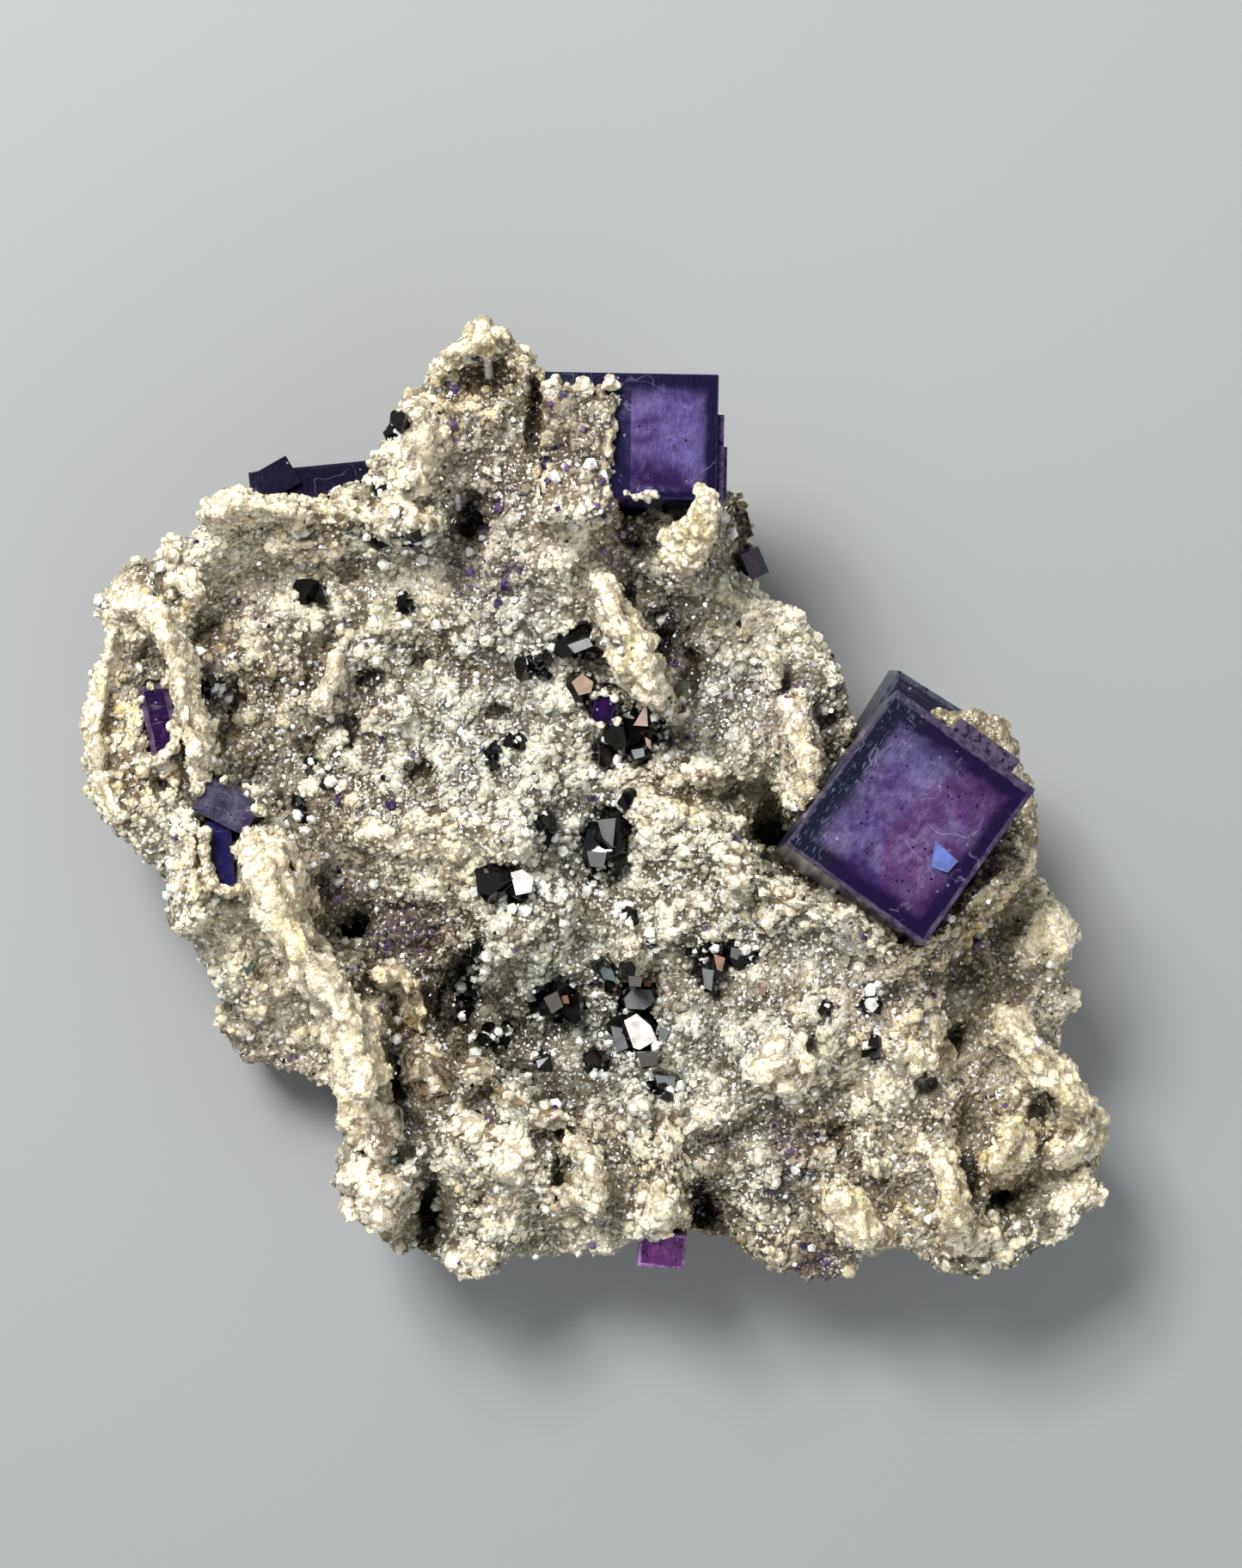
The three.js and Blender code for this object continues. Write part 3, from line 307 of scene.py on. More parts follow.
def chooseFaces(piece, chosen):
    # leaves the piece in edit mode with just these faces selected
    only(piece)
    bpy.ops.object.mode_set(mode="EDIT")
    bpy.ops.mesh.select_mode(type="FACE")
    bpy.ops.mesh.select_all(action="DESELECT")
    bpy.ops.object.mode_set(mode="OBJECT")
    piece.data.polygons.foreach_set("select", chosen)
    bpy.ops.object.mode_set(mode="EDIT")


def makeMatrix(look):
    piece = copyOfNode("matrix", "matrixBody")
    voxelSkin(piece, look["voxel"])
    facing = arrayOf(piece.data.polygons, "normal", 3)[:, 2]
    height = arrayOf(piece.data.polygons, "center", 3)[:, 2]
    chooseFaces(piece, (facing > look["front"]["facing"]) & (height > look["front"]["height"]))
    bpy.ops.mesh.subdivide(number_cuts=1)
    bpy.ops.object.mode_set(mode="OBJECT")
    soften = piece.modifiers.new("soften", "SMOOTH")
    soften.factor = 0.5
    soften.iterations = 5
    applyAll(piece)
    return piece


# Forms that stand on the solid, all in seen millimetres.
# Blades: half width, lift, creaminess, line. Lobes: place, reach, lift, creaminess. Dents: place, reach, depth.
blades = [
    [1.2, 2.2, 1, [[0.9, 22.1], [1.7, 20], [2.4, 18.2]]], [1.9, 2.2, 1, [[2.6, 18], [3.2, 16.4]]],
    [2.4, 2.2, 1, [[3.6, 15.4], [4.7, 12.8]]], [1.7, 2, 1, [[5, 12.2], [6.3, 10.2]]],
    [1.08, 1.6, 0.9, [[10.2, 30.7], [10.8, 28.3], [10.2, 25.8], [9, 24]]],
    [1, 1, 0.8, [[7.2, 27.5], [7.6, 25]]],
    [1.5, 1.7, 0.9, [[19, 10], [20, 7.6], [21, 5], [21.4, 2.9], [20.5, 0.6]]],
    [0.75, 1.2, 0.8, [[17.1, 15.2], [17.6, 13.3], [17.2, 11.7]]],
    [2.2, 1.6, 1, [
        [-32.3, -4.4], [-31.4, -6.8], [-30.8, -9.6], [-28.9, -12.9], [-26.4, -17.1], [-23.9, -20.8]]],
    [2.67, 1.4, 1, [[-23.9, -20.8], [-22.8, -24.6], [-22.3, -28.3], [-21.8, -31]]],
    [0.92, 1.4, 0.9, [[-35, -4.6], [-33.5, -3.1], [-31.7, -2.2], [-30, -3.8], [-28.8, -5.7]]],
    [0.83, 1, 0.6, [[-28.9, -6.2], [-27.5, -8.8], [-26.7, -10.4]]],
    [1.2, 1.8, 0.9, [[-21.2, -16.8], [-19.7, -16.1], [-18.2, -17.7], [-17.3, -20.7]]],
    [1.75, 1.6, 0.9, [[40.2, -20.6], [41.5, -22.9], [43.6, -25.4], [46.1, -27.3], [47.5, -29.7]]],
    [1.5, 1.5, 0.9, [[41.9, -30.8], [40.7, -33.3], [39, -35.8]]],
    [1.5, 1.6, 0.9, [[33.6, -34.2], [34.8, -36.5], [35.2, -39], [34.5, -41.7]]],
    [1.9, 1.5, 0.9, [[23.6, -37.9], [25.2, -40], [27.2, -41.8]]],
    [1.4, 1.5, 0.85, [
        [-44.2, 20], [-41.8, 17.5], [-40.2, 14.6], [-39.7, 11.2], [-39, 8.3], [-38, 5.8], [-38, 3.8]]],
    [0.92, 1.2, 0.8, [[-25, 14.7], [-25.8, 12.1], [-26.8, 9.5]]],
    [1.17, 1.3, 0.8, [[-37.2, 29], [-35.2, 29.8], [-32.7, 30], [-28.9, 29.2]]],
    [1, 0.6, 0.6, [[-47.5, 17.1], [-48.2, 12.5], [-48.8, 7.5], [-48.3, 3.3], [-46.8, -1.2]]],
    [1.17, 1, 0.7, [[44.8, -34], [47.5, -33], [49, -31.7]]],
    [1.17, 0.8, 0.7, [[41.9, -13.8], [44.4, -10.8], [45.7, -12.1], [45, -14.8]]],
    [1, 1, 0.7, [[-2.7, -32.1], [-0.3, -34.2], [0.2, -38.2]]],
]
lobes = [
    [-46, 21.2, 2.33, 2.5, 1, 0.7], [-41.4, 25, 1.25, 1.67, 0.9, 0.7], [-40, 21.7, 2.33, 1.67, 0.9, 0.6],
    [-24.7, 28.8, 1.5, 1.83, 1.1, 0.7], [-21, 27.9, 1.83, 1.83, 1, 0.6], [-16.4, 28, 2.17, 1.5, 1.1, 0.8],
    [-17.5, 39.3, 1.83, 1.67, 0.8, 0.6], [-16.8, 35.2, 2.83, 2.5, 1, 0.7],
    [-16.8, 31.7, 2.17, 1.83, 0.7, 0.6], [-19.3, 30, 1.5, 1.5, 0.8, 0.6], [-11, 45.3, 2.83, 2.17, 0.8, 0.8],
    [-14.3, 42.9, 1.5, 2, 0.6, 0.7], [-6.8, 43.3, 1.67, 2, 0.6, 0.6], [-20.6, 9, 2.33, 1.33, 1, 0.4],
    [-27.7, 1.2, 2.17, 1.67, 1.1, 0.5], [-3.5, 27.5, 3.33, 5, 0.4, 0.5], [-1.8, 41.2, 1.42, 0.92, 1, 0.7],
    [1.2, 41.8, 1.08, 0.83, 0.8, 0.6], [19.4, 18.5, 1.83, 1.83, 0.8, 0.7], [10.7, 2.8, 1.67, 1.25, 1.3, 0.8],
    [13.8, -5.4, 1.67, 2.5, 1.2, 0.8], [19, -8.5, 2.33, 2, 1, 0.8], [23.8, -9.2, 2.17, 1.5, 0.9, 0.8],
    [18, -25, 3.5, 3.5, 1, 0.7], [32.8, -24.3, 2.83, 2.17, 0.9, 0.7], [3.7, -14.3, 1.5, 2.17, 1.1, 0.7],
    [40.7, -27.9, 1.17, 1.17, 1.2, 0.6], [48.2, -30.4, 2, 2, 0.8, 0.7], [48.2, -37.1, 1.67, 2, 0.6, 0.6],
    [45.5, -38.3, 1.67, 1.17, 0.6, 0.6], [46.5, -17.9, 1.08, 1.17, 0.6, 0.6],
    [6.5, -38.8, 2.83, 3.17, 1, 0.8], [37.3, -41.2, 2.5, 2.67, 0.9, 0.6], [-16, -25.6, 2.6, 2.5, 2, 1],
    [-11.4, -25.6, 1.7, 1.7, 1.7, 1], [-8.4, -28, 1.8, 1.5, 1.7, 1], [-4.8, -30.2, 2.2, 1.6, 1.9, 1],
    [-12.2, -31, 2.5, 1.67, 0.7, 0.6], [-7.7, -34.2, 2.5, 2.5, 0.7, 0.7],
    [-21.7, -37.7, 3.83, 3.83, 0.7, 0.7], [-12.2, -44, 2.83, 1.83, 0.5, 0.6],
    [-2.7, -38.3, 2.33, 2.83, 0.6, 0.7], [20.7, -2.5, 2, 1.5, 0.6, 0.3], [17.8, 0.4, 2, 1.67, 0.8, 0.5],
    [9, 2.9, 1, 1, 0.8, 0.6], [-7.7, -12.5, 2, 3.33, 0.9, 0.4], [-2.7, -23.8, 1.83, 1.67, 0.8, 0.4],
    [-33.9, 18.5, 1.17, 1.17, 1, 0.3], [-27.2, 18.7, 0.92, 0.92, 1, 0.3], [-31.7, 13.7, 1.17, 1.17, 1, 0.3],
    [-14.3, 5, 1.5, 1.33, 0.7, 0.4], [-34.5, 6, 1.5, 1.5, 1, 0.3], [-21.8, -3.8, 2.5, 2, 0.8, 0.3],
    [-16, -3.3, 2.83, 2, 0.6, 0.3], [-8.5, -3.8, 2.5, 2.17, 0.8, 0.3], [-25.2, -5.8, 1.33, 1.33, 0.9, 0.4],
    [39.8, -6.2, 1.83, 2.17, 0.8, 0.2], [26.7, -31.7, 1.33, 1.33, 1, 0.6], [27.3, -34.8, 1.5, 1.33, 0.9, 0.6],
    [23.6, -35.5, 1, 1, 0.9, 0.5], [5.7, -29.2, 3.33, 1.83, 0.7, 0.4], [31.5, -32.5, 1.67, 2, 0.6, 0.4],
    [0.7, -30.8, 2.5, 1.67, 0.7, 0.5], [-30.6, -18.8, 1.33, 1, 0.6, 0.5], [-42.7, 5, 2.5, 2.5, 0.5, 0.5],
    [-46.8, 5, 2, 2.5, 0.4, 0.5], [7.8, 9.2, 1.83, 1.17, 0.8, 0.6], [3.6, 2.9, 2.17, 1.33, 0.7, 0.5],
    [5.2, 0.4, 1, 1.67, 0.8, 0.6],
]
dents = [
    [17.8, -3.8, 1.83, 3.33, 2.2], [20.8, -6.7, 1.5, 1.17, 1.6], [-12, 27.9, 1, 2.83, 1.4],
    [-5.8, 38.3, 0.75, 3.83, 1.3], [3.3, 20, 0.67, 2.17, 1.2], [6.5, 15.4, 0.83, 2.17, 1.4],
    [8.6, 11.7, 0.75, 1.67, 1.2], [-26.7, -8.8, 1, 3, 1.8], [-24.3, -12.9, 1.33, 2.17, 1.8],
    [-22, -17.5, 1.17, 1.67, 1.4], [-19.8, -25.4, 1, 2.83, 2], [-18.9, -29.2, 0.83, 1.67, 1.4],
    [-12.7, -18.3, 1.83, 3.83, 1], [-11, -23.3, 2.83, 1.17, 1.2], [-3.1, -31.5, 1, 1.17, 1.4],
    [-16.3, -38.5, 1.08, 3.67, 2.2], [-3.5, -36.2, 0.67, 2.5, 1.2], [10.2, -38.3, 1.17, 2.33, 1.6],
    [36.5, -35.8, 0.83, 2.67, 1.3], [39.4, -38.3, 1.17, 1.17, 1.2], [44, -22.9, 1.33, 1.33, 1],
    [43.2, -30.4, 1.17, 1.83, 1.2], [-37.2, 11.2, 1, 1.83, 1.4], [-36.4, 6.7, 0.67, 2, 0.8],
    [21.1, -22.9, 0.83, 1, 1], [32.3, -26.8, 0.83, 1.17, 1.2], [34.8, -22.9, 0.83, 1.33, 1],
    [-22, 12.5, 1.83, 0.83, 1], [-23.9, 7.5, 0.67, 2, 0.8], [-43.1, 14.6, 1.67, 1.83, 1],
    [-41.8, 2.1, 1.33, 0.67, 1], [3.6, 27.3, 1.17, 2.17, 1.4], [14.4, 27.9, 1, 1.67, 1],
    [-17.2, 14.2, 1.17, 0.67, 0.8], [13.2, 1.2, 1.67, 0.67, 0.8], [-11.4, -37.9, 1, 1.17, 1],
    [44, -40.8, 1.17, 1.33, 0.8], [23.6, -32.5, 0.83, 1.33, 0.6], [-4.3, 34.6, 1.17, 0.67, 0.8],
    [-24.3, 22.9, 0.67, 1.67, 0.6], [9, -29.2, 0.67, 1.5, 0.6], [0.7, 14.2, 1.17, 0.67, 0.4],
    [-28.1, 5.8, 0.83, 1.17, 0.6], [-16.2, -18.8, 1.4, 1.6, 1.8], [-13.6, -21.6, 1.8, 1.2, 2.2],
    [-10.4, -23, 2, 0.9, 2], [-7.6, -25.4, 1.8, 1, 1.2], [-4.4, -28.2, 1.6, 0.8, 1.4],
    [-17.4, 3.6, 1.4, 0.8, 1], [-9.4, 9.4, 1.2, 0.8, 0.8], [9.4, 13.4, 1, 2.6, 1.4],
]

# Banks of crust against the large cube: line with the bank on its right, height there, fall per mm, reach
banks = [
    [[[18.2, -3.4], [30.9, -13.4]], 34.3, 1.7, 4.4],
    [[[30.9, -13.4], [40.4, -3.4]], 31.4, 1.3, 3.8],
]


def blurred(grid, there, reach):
    # Gaussian mean of the cells that are there
    size = int(3 * reach)
    steps = np.arange(-size, size + 1)
    weights = np.exp(-0.5 * (steps / reach) ** 2)

    def both(field):
        rows = np.apply_along_axis(lambda line: np.convolve(line, weights, "same"), 0, field)
        return np.apply_along_axis(lambda line: np.convolve(line, weights, "same"), 1, rows)

    return both(grid * there) / np.maximum(both(there.astype(float)), 1e-6)


def surroundings(points, reach):
    # mean height in metres of the top surface around each point, over this reach in mm
    cell = 0.5 * mm
    column = ((points[:, 0] - points[:, 0].min()) / cell).astype(int)
    row = ((points[:, 1] - points[:, 1].min()) / cell).astype(int)
    heights = np.full((row.max() + 1, column.max() + 1), -1.0)
    np.maximum.at(heights, (row, column), points[:, 2])
    return blurred(heights, heights > 4 * mm, reach * mm / cell)[row, column]


def awayFromLine(x, y, line):
    # distance in mm of each point from a line of places
    nearest = np.full(len(x), 1e6)
    for (startX, startY), (endX, endY) in zip(line, line[1:]):
        alongX, alongY = endX - startX, endY - startY
        share = ((x - startX) * alongX + (y - startY) * alongY) / (alongX ** 2 + alongY ** 2)
        share = np.clip(share, 0, 1)
        nearest = np.minimum(nearest, np.hypot(x - startX - share * alongX, y - startY - share * alongY))
    return nearest


def rise(share):
    # smooth step of an array
    share = np.clip(share, 0, 1)
    return share * share * (3 - 2 * share)


def ragged(points, size, seed):
    # slow waves, about -1 to 1, that break up drawn edges
    waves = np.random.default_rng(seed).normal(0, 1, (9, 4))
    total = np.zeros(len(points))
    for x, y, z, phase in waves:
        total += np.sin((points[:, 0] * x + points[:, 1] * y + points[:, 2] * z) / size + 3 * phase)
    return total / 4


def creamAt(x, y, wobble):
    # how creamy each seen place is, and how far the blades and lobes lift it
    lift, cream = np.zeros(len(x)), np.zeros(len(x))
    for half, height, creamy, line in blades:
        away = awayFromLine(x, y, line) + wobble
        lift = np.maximum(lift, 0.9 * height * rise((half + 0.3 - away) / 0.6))
        cream = np.maximum(cream, creamy * rise((half + 0.6 - away) / 0.6))
    for placeX, placeY, reachX, reachY, height, creamy in lobes:
        away = np.hypot((x - placeX) / reachX, (y - placeY) / reachY) + 0.6 * wobble / max(reachX, 1)
        lift = np.maximum(lift, 0.6 * height * np.sqrt(np.clip(1 - away ** 2, 0, 1)))
        cream = np.maximum(cream, creamy * rise((1.15 - away) / 0.35))
    return lift, cream


def sculpt(piece, look):
    # lifts the blades and lobes, sinks the ground beside the blades, presses the dents, piles the banks
    points = arrayOf(piece.data.vertices, "co", 3)
    normals = arrayOf(piece.data.vertices, "normal", 3)
    x, y = seenAs(points[:, 0], points[:, 1], points[:, 2])
    wobble = 0.32 * ragged(points, 0.9 * mm, 5)
    lift, cream = creamAt(x, y, wobble)
    flank = np.zeros(len(points))
    for half, height, creamy, line in blades:
        away = awayFromLine(x, y, line) + wobble
        beside = rise((away - half) / 0.6) * rise((half + 3.4 - away) / 2.0)
        flank = np.maximum(flank, creamy * beside)
    pressed = np.zeros(len(points))
    for placeX, placeY, reachX, reachY, depth in dents:
        away = np.hypot((x - placeX) / reachX, (y - placeY) / reachY) + 0.4 * wobble
        pressed = np.maximum(pressed, depth * rise((1.3 - away) / 0.8))
    facing = rise((normals[:, 2] + 0.2) / 0.6) * rise((points[:, 2] / mm - 6) / 4)
    standing = np.clip(points[:, 2] - surroundings(points, 4.4), 0, 5 * mm) / mm
    lift -= (0.7 + 0.75 * standing) * flank * (1 - np.clip(lift, 0, 1))
    points[:, 2] += (np.where(pressed > 0.05, -1.3 * pressed, lift)) * facing * mm
    for ((startX, startY), (endX, endY)), top, fall, reach in banks:
        alongX, alongY = endX - startX, endY - startY
        length = math.hypot(alongX, alongY)
        along = ((x - startX) * alongX + (y - startY) * alongY) / length ** 2
        outward = ((x - startX) * alongY - (y - startY) * alongX) / length
        weight = rise((outward + 0.5) / 0.5) * rise((reach - outward) / 2)
        weight *= rise((0.55 - abs(along - 0.5)) / 0.1)
        target = (top - fall * np.clip(outward, 0, None) + 2 * wobble) * mm
        points[:, 2] += np.clip(target - points[:, 2], 0, 7 * mm) * weight * facing
    worn = look["worn"]
    points[:, 2] += worn["share"] * np.clip(worn["height"] - points[:, 2], 0, None)
    piece.data.vertices.foreach_set("co", points.ravel())
    piece.data.update()
    writeFields(piece, {"cream": cream * facing, "pit": np.clip(pressed / 1.2, 0, 1) * facing})


matrixBody = makeMatrix(matrixLook)
sculpt(matrixBody, matrixLook)
roughen(matrixBody, matrixLook)
print("matrix skin:", triangles(matrixBody), "triangles")


def groundOf(pieces):
    # the surfaces of these pieces, for the eye's rays and for nearest points
    points, faces = [], []
    for piece in pieces:
        start = len(points)
        points += [vertex.co for vertex in piece.data.vertices]
        faces += [[start + index for index in face.vertices] for face in piece.data.polygons]
    return BVHTree.FromPolygons(points, faces)


def landing(ground, x, y):
    # point and normal in metres under a seen place in millimetres
    start = Vector((eye["x"], eye["y"], eye["height"])) * mm
    hit = ground.ray_cast(start, (placeOf(x, y, eye["level"]) - start).normalized())
    return hit[0], hit[1]


# What grows where on the matrix, and where shade and light are painted.
# Zones are seen places in millimetres, [x, y, reach x, reach y, strength].
zones = {
    "dust": [
        [-33.1, 21, 4, 4.6, 0.5], [-11.9, 25.8, 4, 7, 0.7], [-17.7, -11.7, 4.8, 3.2, 1],
        [19, -32.9, 3.4, 4, 0.7], [21.5, -44.2, 4, 2.6, 0.8], [-27, 12, 5, 4.4, 0.4],
        [6.9, 13.8, 2, 6.4, 0.9], [-8, 23, 2.2, 4.4, 0.6], [2.6, 27, 2, 6, 0.9], [-24.6, -7, 4.4, 2.8, 0.8],
        [36, -27, 3.4, 3.4, 0.5], [12, -32.8, 3.6, 2.8, 0.6], [-12.5, 36, 3, 5, 0.6],
        [-2.4, 37, 4, 5.4, 0.25], [18, 6, 3, 3, 0.5], [-31, -24, 5.4, 3.6, 0.5], [26.6, -18, 4.4, 4, 0.5],
        [-37.6, 12, 2.4, 5.4, 0.5], [35, -20.4, 3, 3, 0.4], [4.6, 3.6, 2.2, 4, 0.4], [19.4, 10.4, 3, 3, 0.7],
    ],
    "black": [
        [-1.3, 16, 3.08, 1.08, 1], [-5.6, 14, 1.92, 1.25, 1], [-1, 11.5, 1.33, 1.25, 1],
        [4.4, 7.3, 2.75, 2.25, 1], [1, 5, 1.42, 1.75, 1], [-7.7, 6.6, 0.92, 0.75, 1],
        [-10.4, 5, 0.83, 1.08, 1], [-4.5, -1.7, 1, 1.75, 1], [0.7, -3.5, 1.92, 3.08, 1],
        [-8.9, -7.9, 2.42, 2.08, 1], [0, -7, 0.92, 1.33, 1], [2.9, -10.5, 1, 0.92, 1],
        [5.4, -13.4, 0.75, 0.92, 1], [-11.4, -13.9, 0.83, 1.25, 1], [11.3, -14.2, 2.08, 1.42, 1],
        [14.7, -14.3, 1.58, 1.08, 1], [11, -16.5, 1.08, 1.92, 1], [1.1, -16.3, 1.42, 1.42, 1],
        [4.2, -18.3, 2.25, 2.08, 1], [4.4, -22.3, 2.58, 2.25, 1], [-3.9, -18.8, 2.58, 1.92, 1],
        [0.3, -25, 1.42, 1.25, 1], [6.8, -27.1, 1.42, 1.58, 1], [-12.7, -18.3, 1.25, 2.25, 1],
        [-9.8, -22.5, 1.75, 1.08, 1], [-27.2, 20.8, 1.58, 1.42, 1], [-18.5, 19.8, 0.92, 1.08, 1],
        [-19, 36.7, 1.17, 1.08, 1], [-28.5, -0.2, 1.08, 1.42, 1], [22.3, -19.2, 0.83, 0.92, 1],
        [26.8, -19, 1.25, 1.58, 1], [27, -23, 0.83, 1.08, 1], [-27.7, 4.3, 0.92, 1.25, 1],
        [-26, 2.9, 0.92, 0.92, 1], [3.2, 0.8, 0.75, 1.08, 1], [-20.8, 31, 0.83, 0.75, 1],
        [-21.5, 25.7, 1.08, 0.67, 1], [-17.8, 26, 0.92, 0.92, 1], [-37, 11.7, 0.92, 1.42, 1],
        [-5, -24.2, 0.92, 1.08, 1],
    ],
    "olive": [
        [37, -9.4, 6.4, 3.4, 1], [42, -12.4, 4.4, 3.4, 0.6], [13.6, 26.6, 2.4, 5.4, 1],
        [15, 17.6, 2.4, 3.4, 0.5], [20.4, 2.4, 2, 3.4, 0.8], [4.6, 27, 2.4, 3, 0.6], [40.4, -21, 3.4, 5, 0.6],
        [43.4, -30.4, 2.6, 3.6, 0.6], [-13, -25, 4, 3, 0.6], [-43, 14.6, 2.6, 3.6, 0.4],
        [-29.6, 23.8, 3.4, 2.4, 0.3], [36.4, -36.4, 2.6, 4.4, 0.6], [-3.6, -36.6, 2, 4.4, 0.7],
        [10.4, -38, 2.4, 4.4, 0.6], [-9.4, -22, 5, 5.6, 0.3], [17.4, -3, 3.4, 4.4, 0.5],
        [28.4, 8.4, 3, 3, 0.4], [-1, 38, 4.4, 4.4, 0.7], [-1.6, 33, 3.4, 3.4, 0.3],
    ],
    "cool": [
        [-8.4, -17.4, 5, 6, 1], [-3.4, -21.4, 6.4, 4.4, 0.9], [-6.4, -26, 6.4, 2.4, 0.8],
        [-2.6, -13.4, 5.4, 3.4, 0.5], [6.4, -27, 5.4, 3, 0.5], [-1, 36, 3.4, 5, 0.5],
    ],
    "frost": [
        [-7.2, 14.6, 4.6, 8.4, 0.9], [12.6, 11.4, 5.4, 5.4, 1], [9.4, 20.4, 5.6, 5, 0.8],
        [20, 10.6, 4.4, 3.4, 0.7], [-3.4, -3.4, 6.4, 6.4, 0.7], [3, -22, 8.4, 7.4, 0.8],
        [-9.6, 30.4, 3, 4.4, 0.2], [-24, 25.4, 8.4, 4, 0.25], [22, -13, 6.4, 4.4, 0.5],
        [-19, -30, 5.4, 4.4, 0.4], [32, -16, 6.4, 3.4, 0.2], [-12, 7, 7.4, 6.4, 0.5],
        [13.6, -21.4, 4.4, 4.4, 0.5],
    ],
    "warm": [
        [3.6, 15.8, 2.6, 7, 0.9], [-29.6, -11, 4.4, 8.4, 0.9], [-23.4, -27, 3.4, 6.4, 0.9],
        [19.8, 4.4, 2.8, 6, 0.8], [10, 27, 3.4, 6, 0.9], [43.6, -26.4, 5.6, 7.4, 1],
        [39.4, -34, 4.4, 6.4, 0.9], [-10.4, 44, 4.6, 4, 1], [43.8, -12.4, 5, 6, 1],
        [46.6, -32.6, 4.6, 4.6, 1], [26.6, -38, 6.4, 5.4, 0.8], [-31, 28.4, 9.4, 4, 0.7],
        [-45.4, 10, 5.6, 12, 0.8], [6.4, -36.4, 5.4, 6, 0.7], [-15, -2.4, 9.4, 2.4, 0.3],
        [34.4, -38.4, 3.4, 5.4, 0.9], [16.6, -24.4, 3.4, 3.4, 0.5], [36, -14, 6, 5, 0.8],
        [14.6, 22, 4, 5, 0.7], [-18, 33, 4.4, 7, 0.6], [-6, 36, 4, 7, 0.6], [-38, -6, 4, 8, 0.6],
        [2, 33, 3.4, 6, 0.6], [22, -43, 8, 4, 0.8], [-24, 24, 8, 4, 0.5], [30, -22, 6, 6, 0.7],
        [36, -13, 9, 9, 1], [38, -12, 7, 7, 1], [41, -10, 6, 8, 1], [-12, 38, 5, 8, 0.8],
        [-37, 14, 3, 9, 0.7], [-20, -23, 4, 9, 0.8], [2, 26, 4, 6, 0.6], [13, 28, 5, 8, 1],
        [-24, -9, 6, 5, 0.5], [37, -24, 6, 7, 0.8], [-26, -26, 5, 7, 0.7],
    ],
    # painted shade: places where the crust is darkened as if in shadow
    "shade": [
        [-13, -21.6, 3, 1.6, 0.7], [-5.5, -26.6, 2.4, 1.4, 0.6], [0.6, -27, 2.4, 1.8, 0.6],
        [-1.4, -31.6, 2, 1.6, 0.6], [-20, -14, 3.4, 1.2, 0.6], [-11, -9.6, 2, 1.2, 0.5],
        [-23.6, 4, 2, 1.6, 0.4], [-14.5, 3, 2.2, 1.8, 0.5], [-7.6, 0.6, 1.8, 1.4, 0.5],
        [-5, 4.6, 2, 1.6, 0.4], [-10, 18.4, 2.6, 1.4, 0.6], [17, 15.5, 4, 2, 0.4], [4.4, 17.6, 1.6, 1.6, 0.4],
        [-4.4, 39, 1.6, 2.4, 0.5], [-24, 31.6, 2, 1, 0.4], [20, -5, 3.4, 1.4, 0.5], [34, -2.6, 2, 1.6, 0.4],
        [-1, 36, 3.2, 5.4, 0.6], [-17, 3, 3.4, 3, 0.6], [-10, 10, 3.4, 3, 0.6], [-22, 11, 2.4, 2.4, 0.4],
        [-11, 19, 3.4, 3, 0.5], [-4, 38, 3.4, 4.4, 0.8], [-9, 44, 3.4, 2.4, 0.5], [-30, -4.6, 2, 2, 0.3],
        [-25.6, -11, 2, 4, 0.7], [-21, -16, 3.4, 3, 0.7], [-15, -20, 4.4, 4, 0.9], [-10.6, -23, 4.4, 3, 0.95],
        [-4.6, -26.4, 4.4, 2.6, 0.9], [0.6, -30, 3.4, 2.6, 0.8], [20, -5, 3.4, 3, 0.6], [18, -20, 3, 3, 0.4],
        [13, -24, 3, 3, 0.4], [-19.4, -27, 1.4, 4, 0.9], [9, 15, 2, 5, 0.9], [12.4, 6.4, 2.4, 3.4, 0.6],
        [-8.2, 30, 1.6, 4, 0.5], [35.6, -10.4, 2.4, 3.6, 0.5], [22, -34, 3, 3, 0.3], [10, -37, 3, 3, 0.3],
        [-33, 5, 2.4, 3, 0.3],
    ],
    # painted light: places where the crust is lightened as if lit
    "light": [
        [-8.6, 36.6, 1.6, 1.6, 0.6], [-14.6, 33, 2, 3, 0.4], [-34, 26.4, 2.4, 1.4, 0.5],
        [-13, 25.6, 3, 2, 0.5], [-1, 25.6, 3, 2, 0.5], [7, 28.8, 1.8, 1.4, 0.6], [-5, 12, 2.4, 3, 0.5],
        [0, 14, 1.6, 1.6, 0.5], [7.5, 10, 1.4, 4, 0.5], [17, 1.6, 2, 2, 0.6], [-8.4, -16, 2, 2, 0.6],
        [4, -17, 3, 2.4, 0.4], [16, -16, 6, 1.4, 0.5], [24, -9, 2.4, 1.6, 0.5], [44, -6, 1.6, 4, 0.6],
        [-18.6, -40.6, 2.4, 1.8, 0.6], [48, -22, 2, 3, 0.5], [26, -24, 2, 1.6, 0.4],
        [-27.6, -19, 2, 1.4, 0.5], [2, -37, 2, 1.6, 0.4], [32, -42, 1.8, 1.2, 0.4], [37, -24, 5, 6, 0.4],
        [-34, 25, 5.4, 4.4, 0.8], [-29, 22, 4.4, 4, 0.6], [-18, 22, 3.4, 3, 0.7], [-2, 23, 3.4, 3.4, 0.7],
        [-2, 17, 3, 3, 0.5], [16, 20, 5, 4.4, 1], [22, 18, 5, 4, 1], [27, 14, 3.4, 4, 1],
        [17, 3, 3.4, 4.4, 0.9], [-46, 15, 4, 4.4, 0.8], [-39, -4, 3.4, 3.4, 0.6], [-35, -13, 4.4, 5, 0.9],
